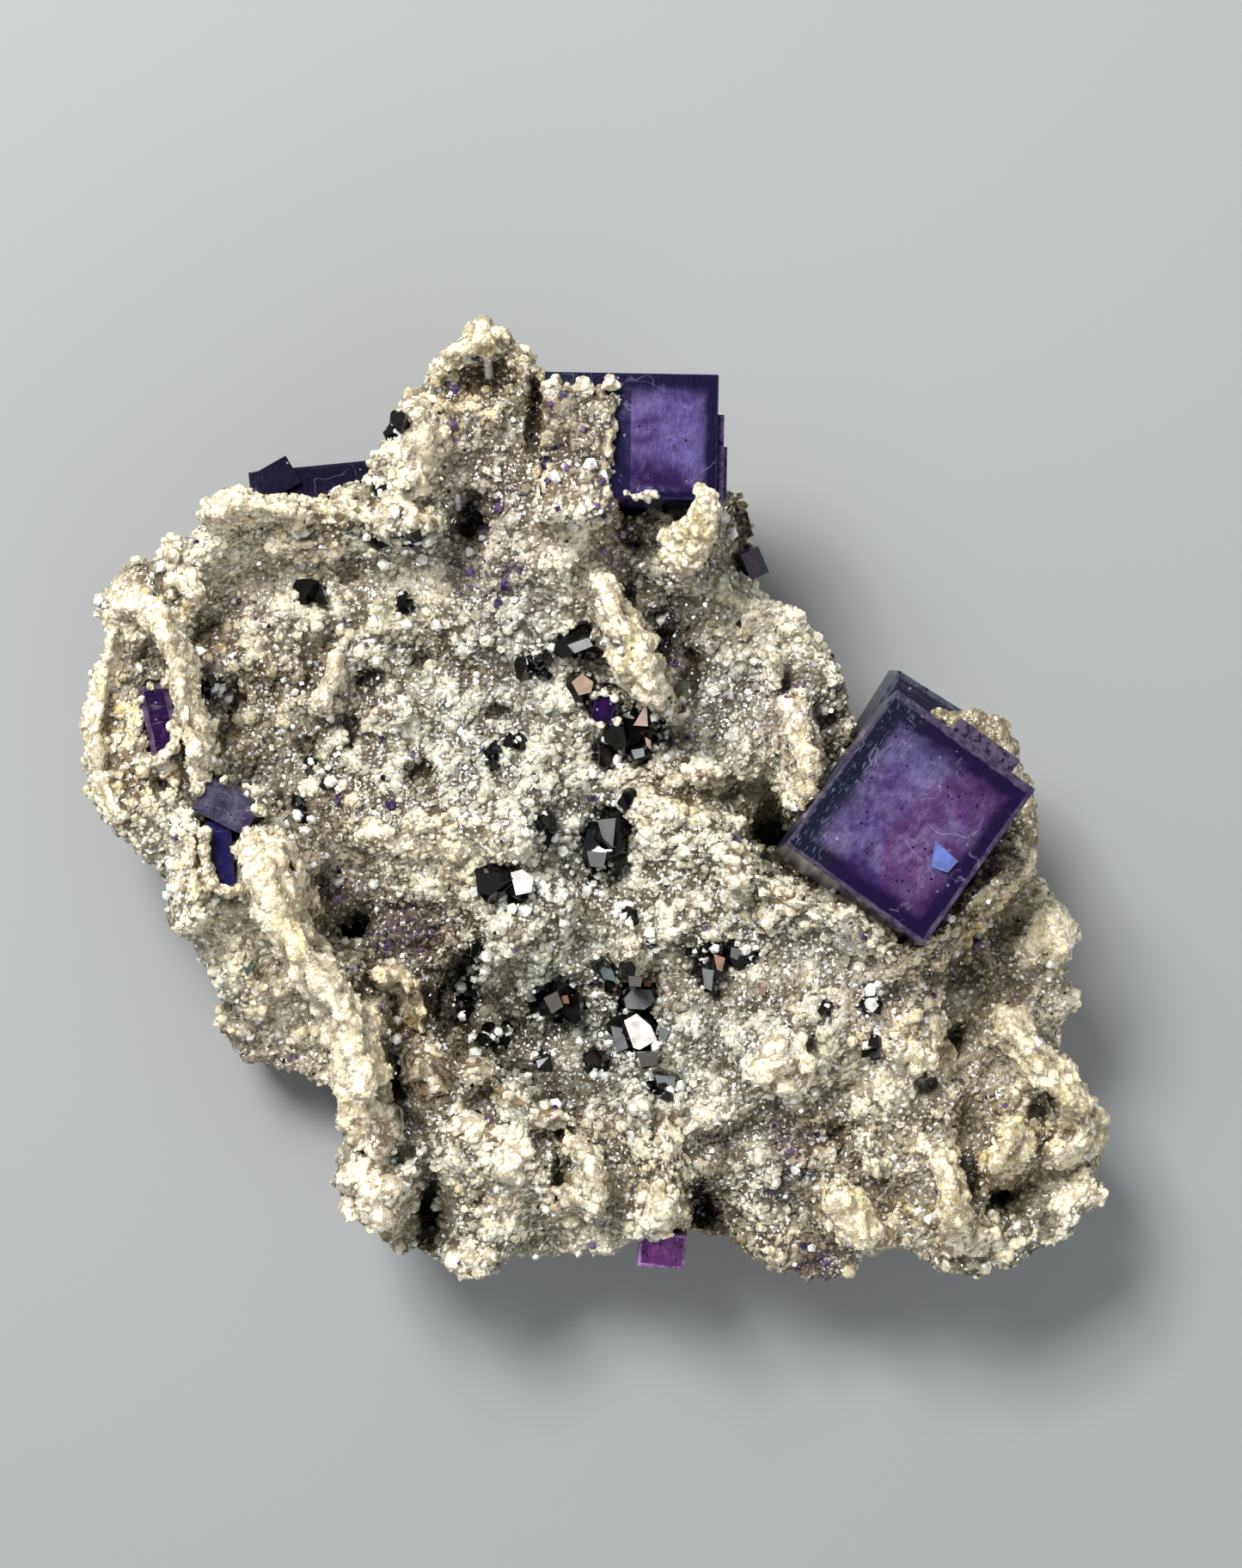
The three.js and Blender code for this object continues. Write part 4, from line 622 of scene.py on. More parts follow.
        [-30, -20, 4, 4.4, 0.9], [-26, -26, 3, 4, 0.7], [-15, -5, 7, 2.4, 0.7], [3, -14, 4, 3, 0.5],
        [25, -10, 3, 3, 0.5], [44, -8, 4, 7, 1], [46, -20, 3.4, 4, 0.8], [40, -26, 3.4, 3, 0.6],
        [28, -25, 4, 4, 0.6], [12, -30, 3, 3, 0.5], [45, -36, 3, 3, 0.7], [-16, -37, 3, 3, 0.4],
        [-8, -38, 3, 3, 0.4], [0, -42, 4, 3, 0.6], [32, -34, 3, 3, 0.5], [7, 28, 2.4, 3, 0.6],
        [-17, 34, 3, 3, 0.6],
    ],
}
reading = {"crest": (-1.8, 3.0), "free": (-0.25, 0.35)}


def zonesAt(points):
    seenX, seenY = seenAs(points[:, 0], points[:, 1], points[:, 2])
    values = {}
    for name, spots in zones.items():
        field = np.zeros(len(points))
        for x, y, reachX, reachY, strength in spots:
            away = ((seenX - x) / reachX) ** 2 + ((seenY - y) / reachY) ** 2
            field = np.maximum(field, strength * np.exp(-away))
        values[name] = field
    return values


def readSurface(piece):
    # writes on each point how far it stands out, how dusty, frosted or warm it is, where shade and light are
    # painted, and how free of crystals
    points = arrayOf(piece.data.vertices, "co", 3)
    normals = arrayOf(piece.data.vertices, "normal", 3)
    far = surroundings(points, 3.4)
    near = surroundings(points, 1.3)
    lift = ((points[:, 2] - far) + 0.8 * (points[:, 2] - near)) / mm
    low, high = reading["crest"]
    crest = np.clip((lift - low) / (high - low), 0, 1)
    side = np.clip((0.45 - normals[:, 2]) / 0.5, 0, 1) * np.clip((far - points[:, 2]) / (5 * mm), 0, 1)
    crest = crest * (1 - side) + 0.42 * side
    values = {"crest": crest, **zonesAt(points)}
    crystals = [node for name, node in cadNodes.items() if name != "matrix"]
    free = np.ones(len(points))
    for node in crystals:
        tree = groundOf([node])
        low, high = [np.array(corner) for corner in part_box(node.name)]
        close = np.all((points > low - 0.6 * mm) & (points < high + 0.6 * mm), axis=1).nonzero()[0]
        for index in close:
            hit = tree.find_nearest(points[index])
            share = (hit[3] / mm - reading["free"][0]) / (reading["free"][1] - reading["free"][0])
            free[index] = min(free[index], max(share, 0))
    values["free"] = free
    values["ahead"] = np.clip(normals[:, 2] * 1.6 + 0.75, 0, 1) * (points[:, 2] > 2.5 * mm)
    writeFields(piece, values)


readSurface(matrixBody)
print("matrix surface read")


# Cream crust: the blades and lobes as clusters of rounded masses, skinned to one
creamLook = {"voxel": 0.37 * mm, "seed": 91, "swell": (2.4 * mm, 0.4 * mm), "knobs": (1.5 * mm, 0.42 * mm),
             "beads": (0.85 * mm, 0.2 * mm), "grit": (0.5 * mm, 0.1 * mm)}


def creamPlaces(random):
    # seen place, radius and how far up its middle sits, for each mass
    places = []
    for half, height, creamy, line in blades:
        for (startX, startY), (endX, endY) in zip(line, line[1:]):
            length = math.hypot(endX - startX, endY - startY)
            acrossX, acrossY = (endY - startY) / length, (startX - endX) / length
            count = max(2, round(length / (0.42 * half)))
            for step in range(count):
                for side in (-0.52, 0, 0.52):
                    share = (step + random.uniform(-0.4, 0.4)) / count
                    off = half * (side + random.normal(0, 0.1))
                    places.append((startX + share * (endX - startX) + off * acrossX,
                                   startY + share * (endY - startY) + off * acrossY,
                                   half * random.uniform(0.44, 0.62), random.uniform(0.0, 0.4)))
    for x, y, reachX, reachY, height, creamy in lobes:
        if creamy < 0.6:
            continue
        for number in range(6):
            angle = fullTurn * number / 5 + random.uniform(-0.5, 0.5)
            along = random.uniform(0.5, 0.75) if number else 0.0
            places.append((x + along * reachX * math.cos(angle), y + along * reachY * math.sin(angle),
                           0.5 * (reachX + reachY) * random.uniform(0.26, 0.46), random.uniform(-0.2, 0.3)))
    return places


def massOf(name, balls, look, material):
    # one lumpy skin over overlapping balls: middle in metres, radius in metres
    groups = []
    batch = 40
    for start in range(0, len(balls), batch):
        groups.append(newShape("ico_sphere", subdivisions=2, radius=balls[start][1], location=balls[start][0]))
        bpy.ops.object.transform_apply(location=True)
        bpy.ops.object.mode_set(mode="EDIT")
        for middle, radius in balls[start + 1:start + batch]:
            bpy.ops.mesh.primitive_ico_sphere_add(subdivisions=2, radius=radius, location=middle)
        bpy.ops.object.mode_set(mode="OBJECT")
    piece = joined(groups)
    piece.name = name
    voxelSkin(piece, look["voxel"])
    roughen(piece, look)
    smooth(piece)
    return finished(piece, material)


def makeCream(look, material):
    ground = groundOf([matrixBody])
    balls = []
    for x, y, radius, up in creamPlaces(np.random.default_rng(look["seed"])):
        point = landing(ground, x, y)[0]
        if point is not None and point.z > 5 * mm:
            balls.append((point + Vector((0, 0, up * radius * mm)), radius * mm))
    piece = massOf("creamCrust", balls, look, material)
    points = arrayOf(piece.data.vertices, "co", 3)
    x, y = seenAs(points[:, 0], points[:, 1], points[:, 2])
    cream = creamAt(x, y, np.zeros(len(x)))[1]
    values = zonesAt(points)
    values.update({"cream": np.clip(cream + 0.15, 0.3, 1), "crest": np.full(len(points), 0.6),
                   "ahead": np.ones(len(points)), "free": np.ones(len(points)), "pit": np.zeros(len(points))})
    writeFields(piece, values)
    return piece


# Small grains that are scattered over the matrix, each kind modelled once, one millimetre across, and copied
grainForms = {
    "ball": ("uv_sphere", {"segments": 7, "ring_count": 5, "radius": 0.5 * mm}),
    "crystal": ("ico_sphere", {"subdivisions": 1, "radius": 0.5 * mm}),
    "plate": ("cylinder", {"vertices": 6, "radius": 0.5 * mm, "depth": 0.4 * mm}),
    "cube": ("cube", {"size": 0.8 * mm}),
    "flake": ("circle", {"vertices": 5, "radius": 0.5 * mm, "fill_type": "NGON"}),
    "shard": ("cone", {"vertices": 4, "radius1": 0.5 * mm, "radius2": 0.25 * mm, "depth": 0.6 * mm}),
    "cone": ("cone", {"vertices": 3, "radius1": 0.5 * mm, "radius2": 0.16 * mm, "depth": 0.7 * mm}),
}


def grainShapes(look):
    # a few roughened seed shapes in a collection of their own
    shapes = bpy.data.collections.new(look["shape"])
    random = np.random.default_rng(look["seed"])
    kind, settings = grainForms[look["shape"]]
    for number in range(look["kinds"]):
        shape = newShape(kind, **settings)
        shape.name = f"{look['shape']}{number}"
        for vertex in shape.data.vertices:
            vertex.co *= 1 + look["rough"] * random.uniform(-1, 1)
            vertex.co.z *= look["squash"]
        for home in shape.users_collection:
            home.objects.unlink(shape)
        shapes.objects.link(shape)
    return shapes


def share(tree, look):
    # share of places that are kept: product of the surface's own readings and of patches of noise
    total = 1.0
    for name, low, high in look["where"]:
        total = times(tree, total, fromTo(tree, namedField(tree, name), low, high))
    if look.get("patches"):
        size, low, high = look["patches"]
        patches = noise(tree, addNode(tree, "GeometryNodeInputPosition").outputs[0], 1 / size, 3.0)
        total = times(tree, total, fromTo(tree, patches, low, high))
    return total


def chances(tree, seed):
    # a number of its own for each grain, 0 to 1
    return addNode(tree, "FunctionNodeRandomValue", {"Seed": seed}, data_type="FLOAT").outputs[1]


def scatter(surface, name, look):
    # spreads copies of the seed shapes over the surface and makes them one mesh
    shapes = grainShapes(look)
    piece = bpy.data.objects.new(name, bpy.data.meshes.new(name))
    bpy.context.scene.collection.objects.link(piece)
    tree = geometryTree(name)
    ground = addNode(tree, "GeometryNodeObjectInfo", {"Object": surface}).outputs["Geometry"]
    spread = addNode(tree, "GeometryNodeDistributePointsOnFaces", {
        "Mesh": ground, "Distance Min": look["apart"], "Density Max": 2 / look["apart"] ** 2,
        "Density Factor": share(tree, look), "Seed": look["seed"],
    }, distribute_method="POISSON").outputs
    family = addNode(tree, "GeometryNodeCollectionInfo", {
        "Collection": shapes, "Separate Children": True, "Reset Children": True,
    })
    tilt = look["tilt"]
    lean = addNode(tree, "FunctionNodeRandomValue", {
        "Min": (-tilt, -tilt, 0.0), "Max": (tilt, tilt, fullTurn), "Seed": look["seed"] + 1,
    }, data_type="FLOAT_VECTOR")
    leanTurn = addNode(tree, "FunctionNodeEulerToRotation", {0: lean.outputs[0]}).outputs[0]
    turn = addNode(tree, "FunctionNodeRotateRotation", {0: spread["Rotation"], 1: leanTurn},
                   rotation_space="LOCAL")
    small, large = look["size"]
    grown = math2(tree, "POWER", chances(tree, look["seed"] + 2), look["lean"])
    copies = addNode(tree, "GeometryNodeInstanceOnPoints", {
        "Points": spread["Points"], "Instance": family.outputs[0], "Pick Instance": True,
        "Rotation": turn.outputs[0], "Scale": math2(tree, "MULTIPLY_ADD", grown, large - small, small),
    }).outputs[0]
    toned = addNode(tree, "GeometryNodeStoreNamedAttribute", {
        0: copies, "Name": "tone", "Value": chances(tree, look["seed"] + 3),
    }, data_type="FLOAT", domain="INSTANCE").outputs[0]
    seated = addNode(tree, "GeometryNodeTranslateInstances", {
        "Instances": toned, "Translation": (0.0, 0.0, look["lift"]), "Local Space": True,
    }).outputs[0]
    applyTree(piece, tree, addNode(tree, "GeometryNodeRealizeInstances", {0: seated}).outputs[0])
    return finished(piece, crusts[look["finish"]])


# Finish of the crust: cream blades, grey-green to tan masses, violet dust, silver frost, brown and dark violet
# gaps that also carry painted shade, near-black pits of painted shade, a top and a light colour for painted
# light, and a white for painted glints
crustColours = {
    "cream": linear(232, 224, 194), "warm": linear(220, 207, 156), "pale": linear(214, 209, 184),
    "green": linear(176, 172, 142), "tan": linear(186, 167, 120), "gap": linear(56, 42, 24),
    "warmGap": linear(120, 97, 58), "top": linear(234, 230, 208), "dust": linear(132, 112, 104),
    "dustGap": linear(48, 34, 36), "frost": linear(224, 230, 236), "olive": linear(128, 113, 66),
    "black": linear(12, 11, 11), "pit": linear(14, 10, 6), "cool": linear(156, 167, 160),
    "spark": linear(254, 254, 250), "light": linear(242, 233, 202), "sand": linear(200, 172, 112),
}


def crustTint(tree, waves):
    # green-grey to tan, with painted light on crests and knob tops, then cream blades and the cool, olive,
    # sandy and frosted places
    colours = crustColours
    warm, cream = attribute(tree, "warm"), attribute(tree, "cream")
    colour = blend(tree, fromTo(tree, waves["patches"], 0.36, 0.62), colours["green"], colours["pale"])
    colour = blend(tree, fromTo(tree, waves["stains"], 0.5, 0.68, 0.0, 0.7), colour, colours["tan"])
    # painted light: crests and knob tops lighten towards the top colour
    high = math2(tree, "MAXIMUM", fromTo(tree, attribute(tree, "crest"), 0.5, 1.0, 0.0, 0.6),
                 fromTo(tree, attribute(tree, "knoll"), 0.55, 1.0, 0.0, 0.6))
    colour = blend(tree, high, colour, colours["top"])
    warmth = times(tree, warm, fromTo(tree, waves["patches"], 0.34, 0.6))
    creamy = blend(tree, warmth, colours["cream"], colours["warm"])
    colour = blend(tree, fromTo(tree, cream, 0.1, 0.8), colour, creamy)
    colour = blend(tree, times(tree, attribute(tree, "cool"), 0.6), colour, colours["cool"])
    colour = blend(tree, times(tree, attribute(tree, "olive"), 0.75), colour, colours["olive"])
    yellow = times(tree, warm, fromTo(tree, waves["stains"], 0.34, 0.54, 0.35, 0.95))
    sandy = blend(tree, fromTo(tree, waves["patches"], 0.42, 0.58), colours["sand"], colours["warm"])
    colour = blend(tree, times(tree, yellow, fromTo(tree, cream, 0.5, 0.1)), colour, sandy)
    frost = times(tree, attribute(tree, "frost"), fromTo(tree, waves["fine"], 0.42, 0.6))
    return blend(tree, times(tree, frost, 0.75), colour, colours["frost"])


def crustDustShadeAndLight(tree, waves, look, colour):
    # violet dust, then painted shade that darkens the gaps between the knobs, low ground and pits, then painted
    # shade and painted light over listed places
    colours = crustColours
    cream = attribute(tree, "cream")
    dusty = times(tree, attribute(tree, "dust"), fromTo(tree, cream, 0.6, 0.1))
    colour = blend(tree, times(tree, dusty, look["dusting"]), colour, colours["dust"])
    gap = blend(tree, cream, colours["gap"], colours["warmGap"])
    gap = blend(tree, dusty, gap, colours["dustGap"])
    # painted shade: gaps between the knobs and low ground darken towards the brown gap colours, which are also
    # the crust's own brown
    low = math2(tree, "MAXIMUM", fromTo(tree, attribute(tree, "knoll"), 0.34, 0.04, 0.0, look["gaps"]),
                fromTo(tree, attribute(tree, "crest"), 0.36, 0.12, 0.0, look["lows"]))
    colour = blend(tree, low, colour, gap)
    # painted shade: pits darken to near-black
    colour = blend(tree, times(tree, attribute(tree, "pit"), look["lows"] + 0.35), colour, colours["pit"])
    # painted shade over the listed shade places, softer on cream
    shade = times(tree, attribute(tree, "shade"), fromTo(tree, waves["patches"], 0.34, 0.62, 1.0, 0.6))
    shade = times(tree, shade, fromTo(tree, cream, 0.6, 0.1, 0.4, 1.0))
    colour = blend(tree, shade, colour, gap)
    # painted light over the listed light places
    lighter = times(tree, attribute(tree, "light"), fromTo(tree, waves["fine"], 0.36, 0.6, 0.25, 0.85))
    return blend(tree, lighter, colour, colours["light"]), gap


def crustTone(tree, look, colour):
    # a shade of its own for each grain, or the black spots of a whole skin
    if not look["tones"]:
        return blend(tree, times(tree, attribute(tree, "black"), 0.9), colour, crustColours["black"])
    tone = attribute(tree, "tone")
    colour = blend(tree, fromTo(tree, tone, 0.0, 0.16, look["dark"], 0.0), colour, crustColours["gap"])
    low, high = look["tones"]
    return blend(tree, 1.0, colour, greyFrom(tree, fromTo(tree, tone, 0.1, 1.0, low, high)), "MULTIPLY")


def crustFacets(tree, cells, look, colour, gap):
    # painted glints on bright facets, fewer in pits, in painted shade and in dust, and dark facets here and
    # there
    chance = splitColour(tree, cells["Color"])
    bright = times(tree, fromTo(tree, chance[0], 0.84, 0.94), fromTo(tree, attribute(tree, "pit"), 0.5, 0.1))
    for name, least in (("shade", 0.25), ("dust", 0.35)):
        bright = times(tree, bright, fromTo(tree, attribute(tree, name), 0.2, 0.9, 1.0, least))
    # painted glints: the spark colour on the bright facets
    colour = blend(tree, times(tree, bright, look["sparkle"]), colour, crustColours["spark"])
    return blend(tree, fromTo(tree, chance[1], 0.24, 0.06, 0.0, look["gloom"]), colour, gap)


def crustMaterial(name, look):
    # look: tones is the range of a grain's own shade, or nothing for a whole skin
    material, tree, shader = newMaterial(name)
    place = objectPlace(tree)
    waves = {
        "patches": noise(tree, place, 380.0, 6.0, {"Roughness": 0.6}), "fine": noise(tree, place, 1700.0, 4.0),
        "stains": noise(tree, place, 130.0, 6.0),
    }
    colour, gap = crustDustShadeAndLight(tree, waves, look, crustTint(tree, waves))
    colour = crustTone(tree, look, colour)
    cells = addNode(tree, "ShaderNodeTexVoronoi", {"Vector": place, "Scale": 1 / look["facet"]}).outputs
    colour = crustFacets(tree, cells, look, colour, gap)
    # each facet is turned at random, so that it catches the light in its own way
    bump = bumpFrom(tree, minus(tree, waves["fine"], cells["Distance"]), 0.6, 0.14 * mm)
    offset = vectors(tree, "SUBTRACT", {0: cells["Color"], 1: (0.5, 0.5, 0.5)})
    tipped = vectors(tree, "MULTIPLY_ADD", {0: offset, 1: (look["glitter"],) * 3, 2: bump})
    feed(tree, shader, {
        "Base Color": colour, "Roughness": look["rough"], "IOR": 1.56, "Subsurface Weight": look["glow"],
        "Subsurface Radius": (1.0, 0.85, 0.62), "Subsurface Scale": 0.7 * mm,
        "Normal": vectors(tree, "NORMALIZE", {0: tipped}),
    })
    return material


# The crust's finishes. facet is the size of its facets and glitter how far they turn. dusting, sparkle, gloom,
# gaps and lows say how strongly dust, painted glints on bright facets, dark facets, painted shade in the gaps
# between knobs, and painted shade on low ground and in pits are seen.
crustFinishes = {
    "crust_skin": {
        "tones": None, "rough": 0.24, "glow": 0.24, "facet": 0.36 * mm, "glitter": 0.9, "dusting": 0.9,
        "sparkle": 0.7, "gloom": 0.22, "gaps": 0.9, "lows": 0.7},
    "crust_cream": {
        "tones": None, "rough": 0.3, "glow": 0.3, "facet": 0.26 * mm, "glitter": 0.6, "dusting": 0.3,
        "sparkle": 0.5, "gloom": 0.2, "gaps": 0.6, "lows": 0.0},
    "crust_rosettes": {
        "tones": (0.88, 1.08), "dark": 0.0, "rough": 0.2, "glow": 0.4, "facet": 0.34 * mm, "glitter": 0.7,
        "dusting": 0.4, "sparkle": 0.6, "gloom": 0.15, "gaps": 0.0, "lows": 0.2},
    "crust_plates": {
        "tones": (0.84, 1.1), "dark": 0.2, "rough": 0.15, "glow": 0.0, "facet": 0.38 * mm, "glitter": 0.4,
        "dusting": 0.8, "sparkle": 0.5, "gloom": 0.2, "gaps": 0.3, "lows": 0.6},
    "crust_fine": {
        "tones": (0.8, 1.08), "dark": 0.5, "rough": 0.14, "glow": 0.0, "facet": 0.34 * mm, "glitter": 0.4,
        "dusting": 1.0, "sparkle": 0.5, "gloom": 0.3, "gaps": 0.4, "lows": 0.7},
}
crusts = {name: crustMaterial(name, look) for name, look in crustFinishes.items()}
matrixBody.data.materials.append(crusts["crust_skin"])
creamCrust = makeCream(creamLook, crusts["crust_cream"])


def plainMaterial(name, colour, rough, metal=0.0, ior=1.5):
    material, tree, shader = newMaterial(name)
    clouds = noise(tree, objectPlace(tree), 900.0, 4.0)
    darker = tuple(0.55 * value for value in colour[:3]) + (1.0,)
    mottled = blend(tree, fromTo(tree, clouds, 0.35, 0.62), darker, colour)
    feed(tree, shader, {"Base Color": mottled, "Roughness": rough, "Metallic": metal, "IOR": ior})
    return material


crusts["silver"] = plainMaterial("mica_silver", linear(238, 240, 240), 0.14, 0.6, 1.6)
crusts["violet"] = plainMaterial("fluorite_grains", linear(92, 74, 104), 0.18)
crusts["black"] = plainMaterial("sphalerite_grains", linear(6, 5, 5), 0.1, 0.0, 1.4)
crusts["white"] = plainMaterial("white_grains", linear(236, 234, 226), 0.2)

# The grains: their seed shapes, how far apart they stand, their size from and to, which leans to small ones,
# how high they sit, and where they grow: each reading there runs from none at its first number to all at its
# second.
grainBase = {"rough": 0.2, "squash": 1.0, "tilt": 1.2, "lean": 2.0, "slot": "matrix_crust"}
openGround = [["free", 0, 1], ["ahead", 0, 1], ["pit", 1.1, 0.3]]
grainLooks = {
    "micaRosettes": {
        "shape": "ball", "kinds": 8, "rough": 0.14, "squash": 0.8, "apart": 0.86 * mm, "seed": 3, "tilt": 0.9,
        "size": (0.55, 1.5), "lean": 1.4, "lift": 0.05 * mm, "finish": "crust_rosettes",
        "where": openGround + [["dust", 0.5, 0.1], ["black", 0.6, 0.1], ["cream", 0.7, 0.3],
                               ["olive", 0.6, 0.1], ["knoll", 0, 0.5]],
        "patches": [3.4 * mm, 0.49, 0.58]},
    "micaPlates": {
        "shape": "plate", "kinds": 6, "squash": 0.9, "apart": 0.8 * mm, "seed": 11, "tilt": 1.1,
        "size": (0.4, 1.15), "lift": 0.0, "finish": "crust_plates", "patches": [2.6 * mm, 0.34, 0.6],
        "where": openGround + [["cream", 0.9, 0.4], ["black", 1, 0.1], ["dust", 1.1, 0.2]]},
    "quartzGrains": {
        "shape": "crystal", "kinds": 6, "rough": 0.22, "squash": 0.9, "apart": 0.8 * mm, "seed": 13,
        "size": (0.35, 1.1), "lift": 0.03 * mm, "finish": "crust_plates", "patches": [1.9 * mm, 0.36, 0.62],
        "where": openGround + [["black", 1.3, 0.2], ["cream", 0.9, 0.4]]},
    "fineGrains": {
        "shape": "cone", "kinds": 5, "apart": 0.62 * mm, "seed": 21, "tilt": 1.6, "size": (0.3, 0.9),
        "lift": 0.08 * mm, "finish": "crust_fine",
        "where": [["free", 0, 1], ["ahead", 0, 1], ["cream", 0.8, 0.4], ["black", 1.4, 0.4]]},
    "dustGrains": {
        "shape": "cone", "kinds": 4, "apart": 0.4 * mm, "seed": 23, "tilt": 1.6, "size": (0.25, 0.7),
        "lift": 0.05 * mm, "finish": "crust_fine",
        "where": openGround + [["dust", 0.3, 0.9], ["cream", 0.8, 0.3]]},
    "micaFlakes": {
        "shape": "flake", "kinds": 4, "apart": 0.46 * mm, "seed": 31, "tilt": 0.75, "size": (0.2, 0.6),
        "lift": 0.26 * mm, "finish": "silver",
        "where": openGround + [["frost", -0.5, 0.9], ["cream", 0.9, 0.4]]},
    "violetSpecks": {
        "shape": "cube", "kinds": 3, "rough": 0.03, "apart": 0.56 * mm, "seed": 41, "tilt": 1.0,
        "size": (0.2, 0.5), "lift": 0.12 * mm, "finish": "violet", "where": openGround + [["dust", 0.2, 1.2]]},
    "blackShards": {
        "shape": "shard", "kinds": 6, "rough": 0.22, "apart": 0.55 * mm, "seed": 52, "size": (0.7, 2.2),
        "lift": 0.16 * mm, "finish": "black", "slot": "sphalerite",
        "where": [["ahead", 0, 1], ["black", 0.3, 0.7]]},
    "blackSpecks": {
        "shape": "shard", "kinds": 4, "rough": 0.25, "squash": 0.8, "apart": 2.4 * mm, "seed": 51,
        "size": (0.3, 0.8), "lift": 0.16 * mm, "finish": "black", "slot": "sphalerite", "where": openGround,
        "patches": [6 * mm, 0.5, 0.7]},
    "whiteGrains": {
        "shape": "crystal", "kinds": 4, "rough": 0.22, "squash": 0.9, "apart": 0.5 * mm, "seed": 61,
        "size": (0.4, 1.4), "lift": 0.4 * mm, "finish": "white",
        "where": [["ahead", 0, 1], ["black", -0.1, 1.4]]},
}
creamSand = {
    "shape": "cone", "kinds": 5, "apart": 0.6 * mm, "seed": 24, "tilt": 1.6, "size": (0.25, 0.7),
    "lift": 0.02 * mm, "finish": "crust_cream", "where": [["cream", 0.2, 0.4]]}
for name, look in grainLooks.items():
    scatter(matrixBody, name, {**grainBase, **look})
scatter(creamCrust, "creamSand", {**grainBase, **creamSand})


# Fluorites: each is told its cubes, as they grow in the solids, so that its zones follow its faces.
# sides gives, for the low X, high X, low Y, high Y and front sides, the width in mm of the pale rim and of the
# dark band, both measured inwards from the edges.
def turnOf(degrees):
    # turn about X, then the turned Y, then the turned Z
    x, y, z = [math.radians(value) for value in degrees]
    return Matrix.Rotation(x, 3, "X") @ Matrix.Rotation(y, 3, "Y") @ Matrix.Rotation(z, 3, "Z")


def evenSides(rim, band):
    return [(rim, band)] * 5


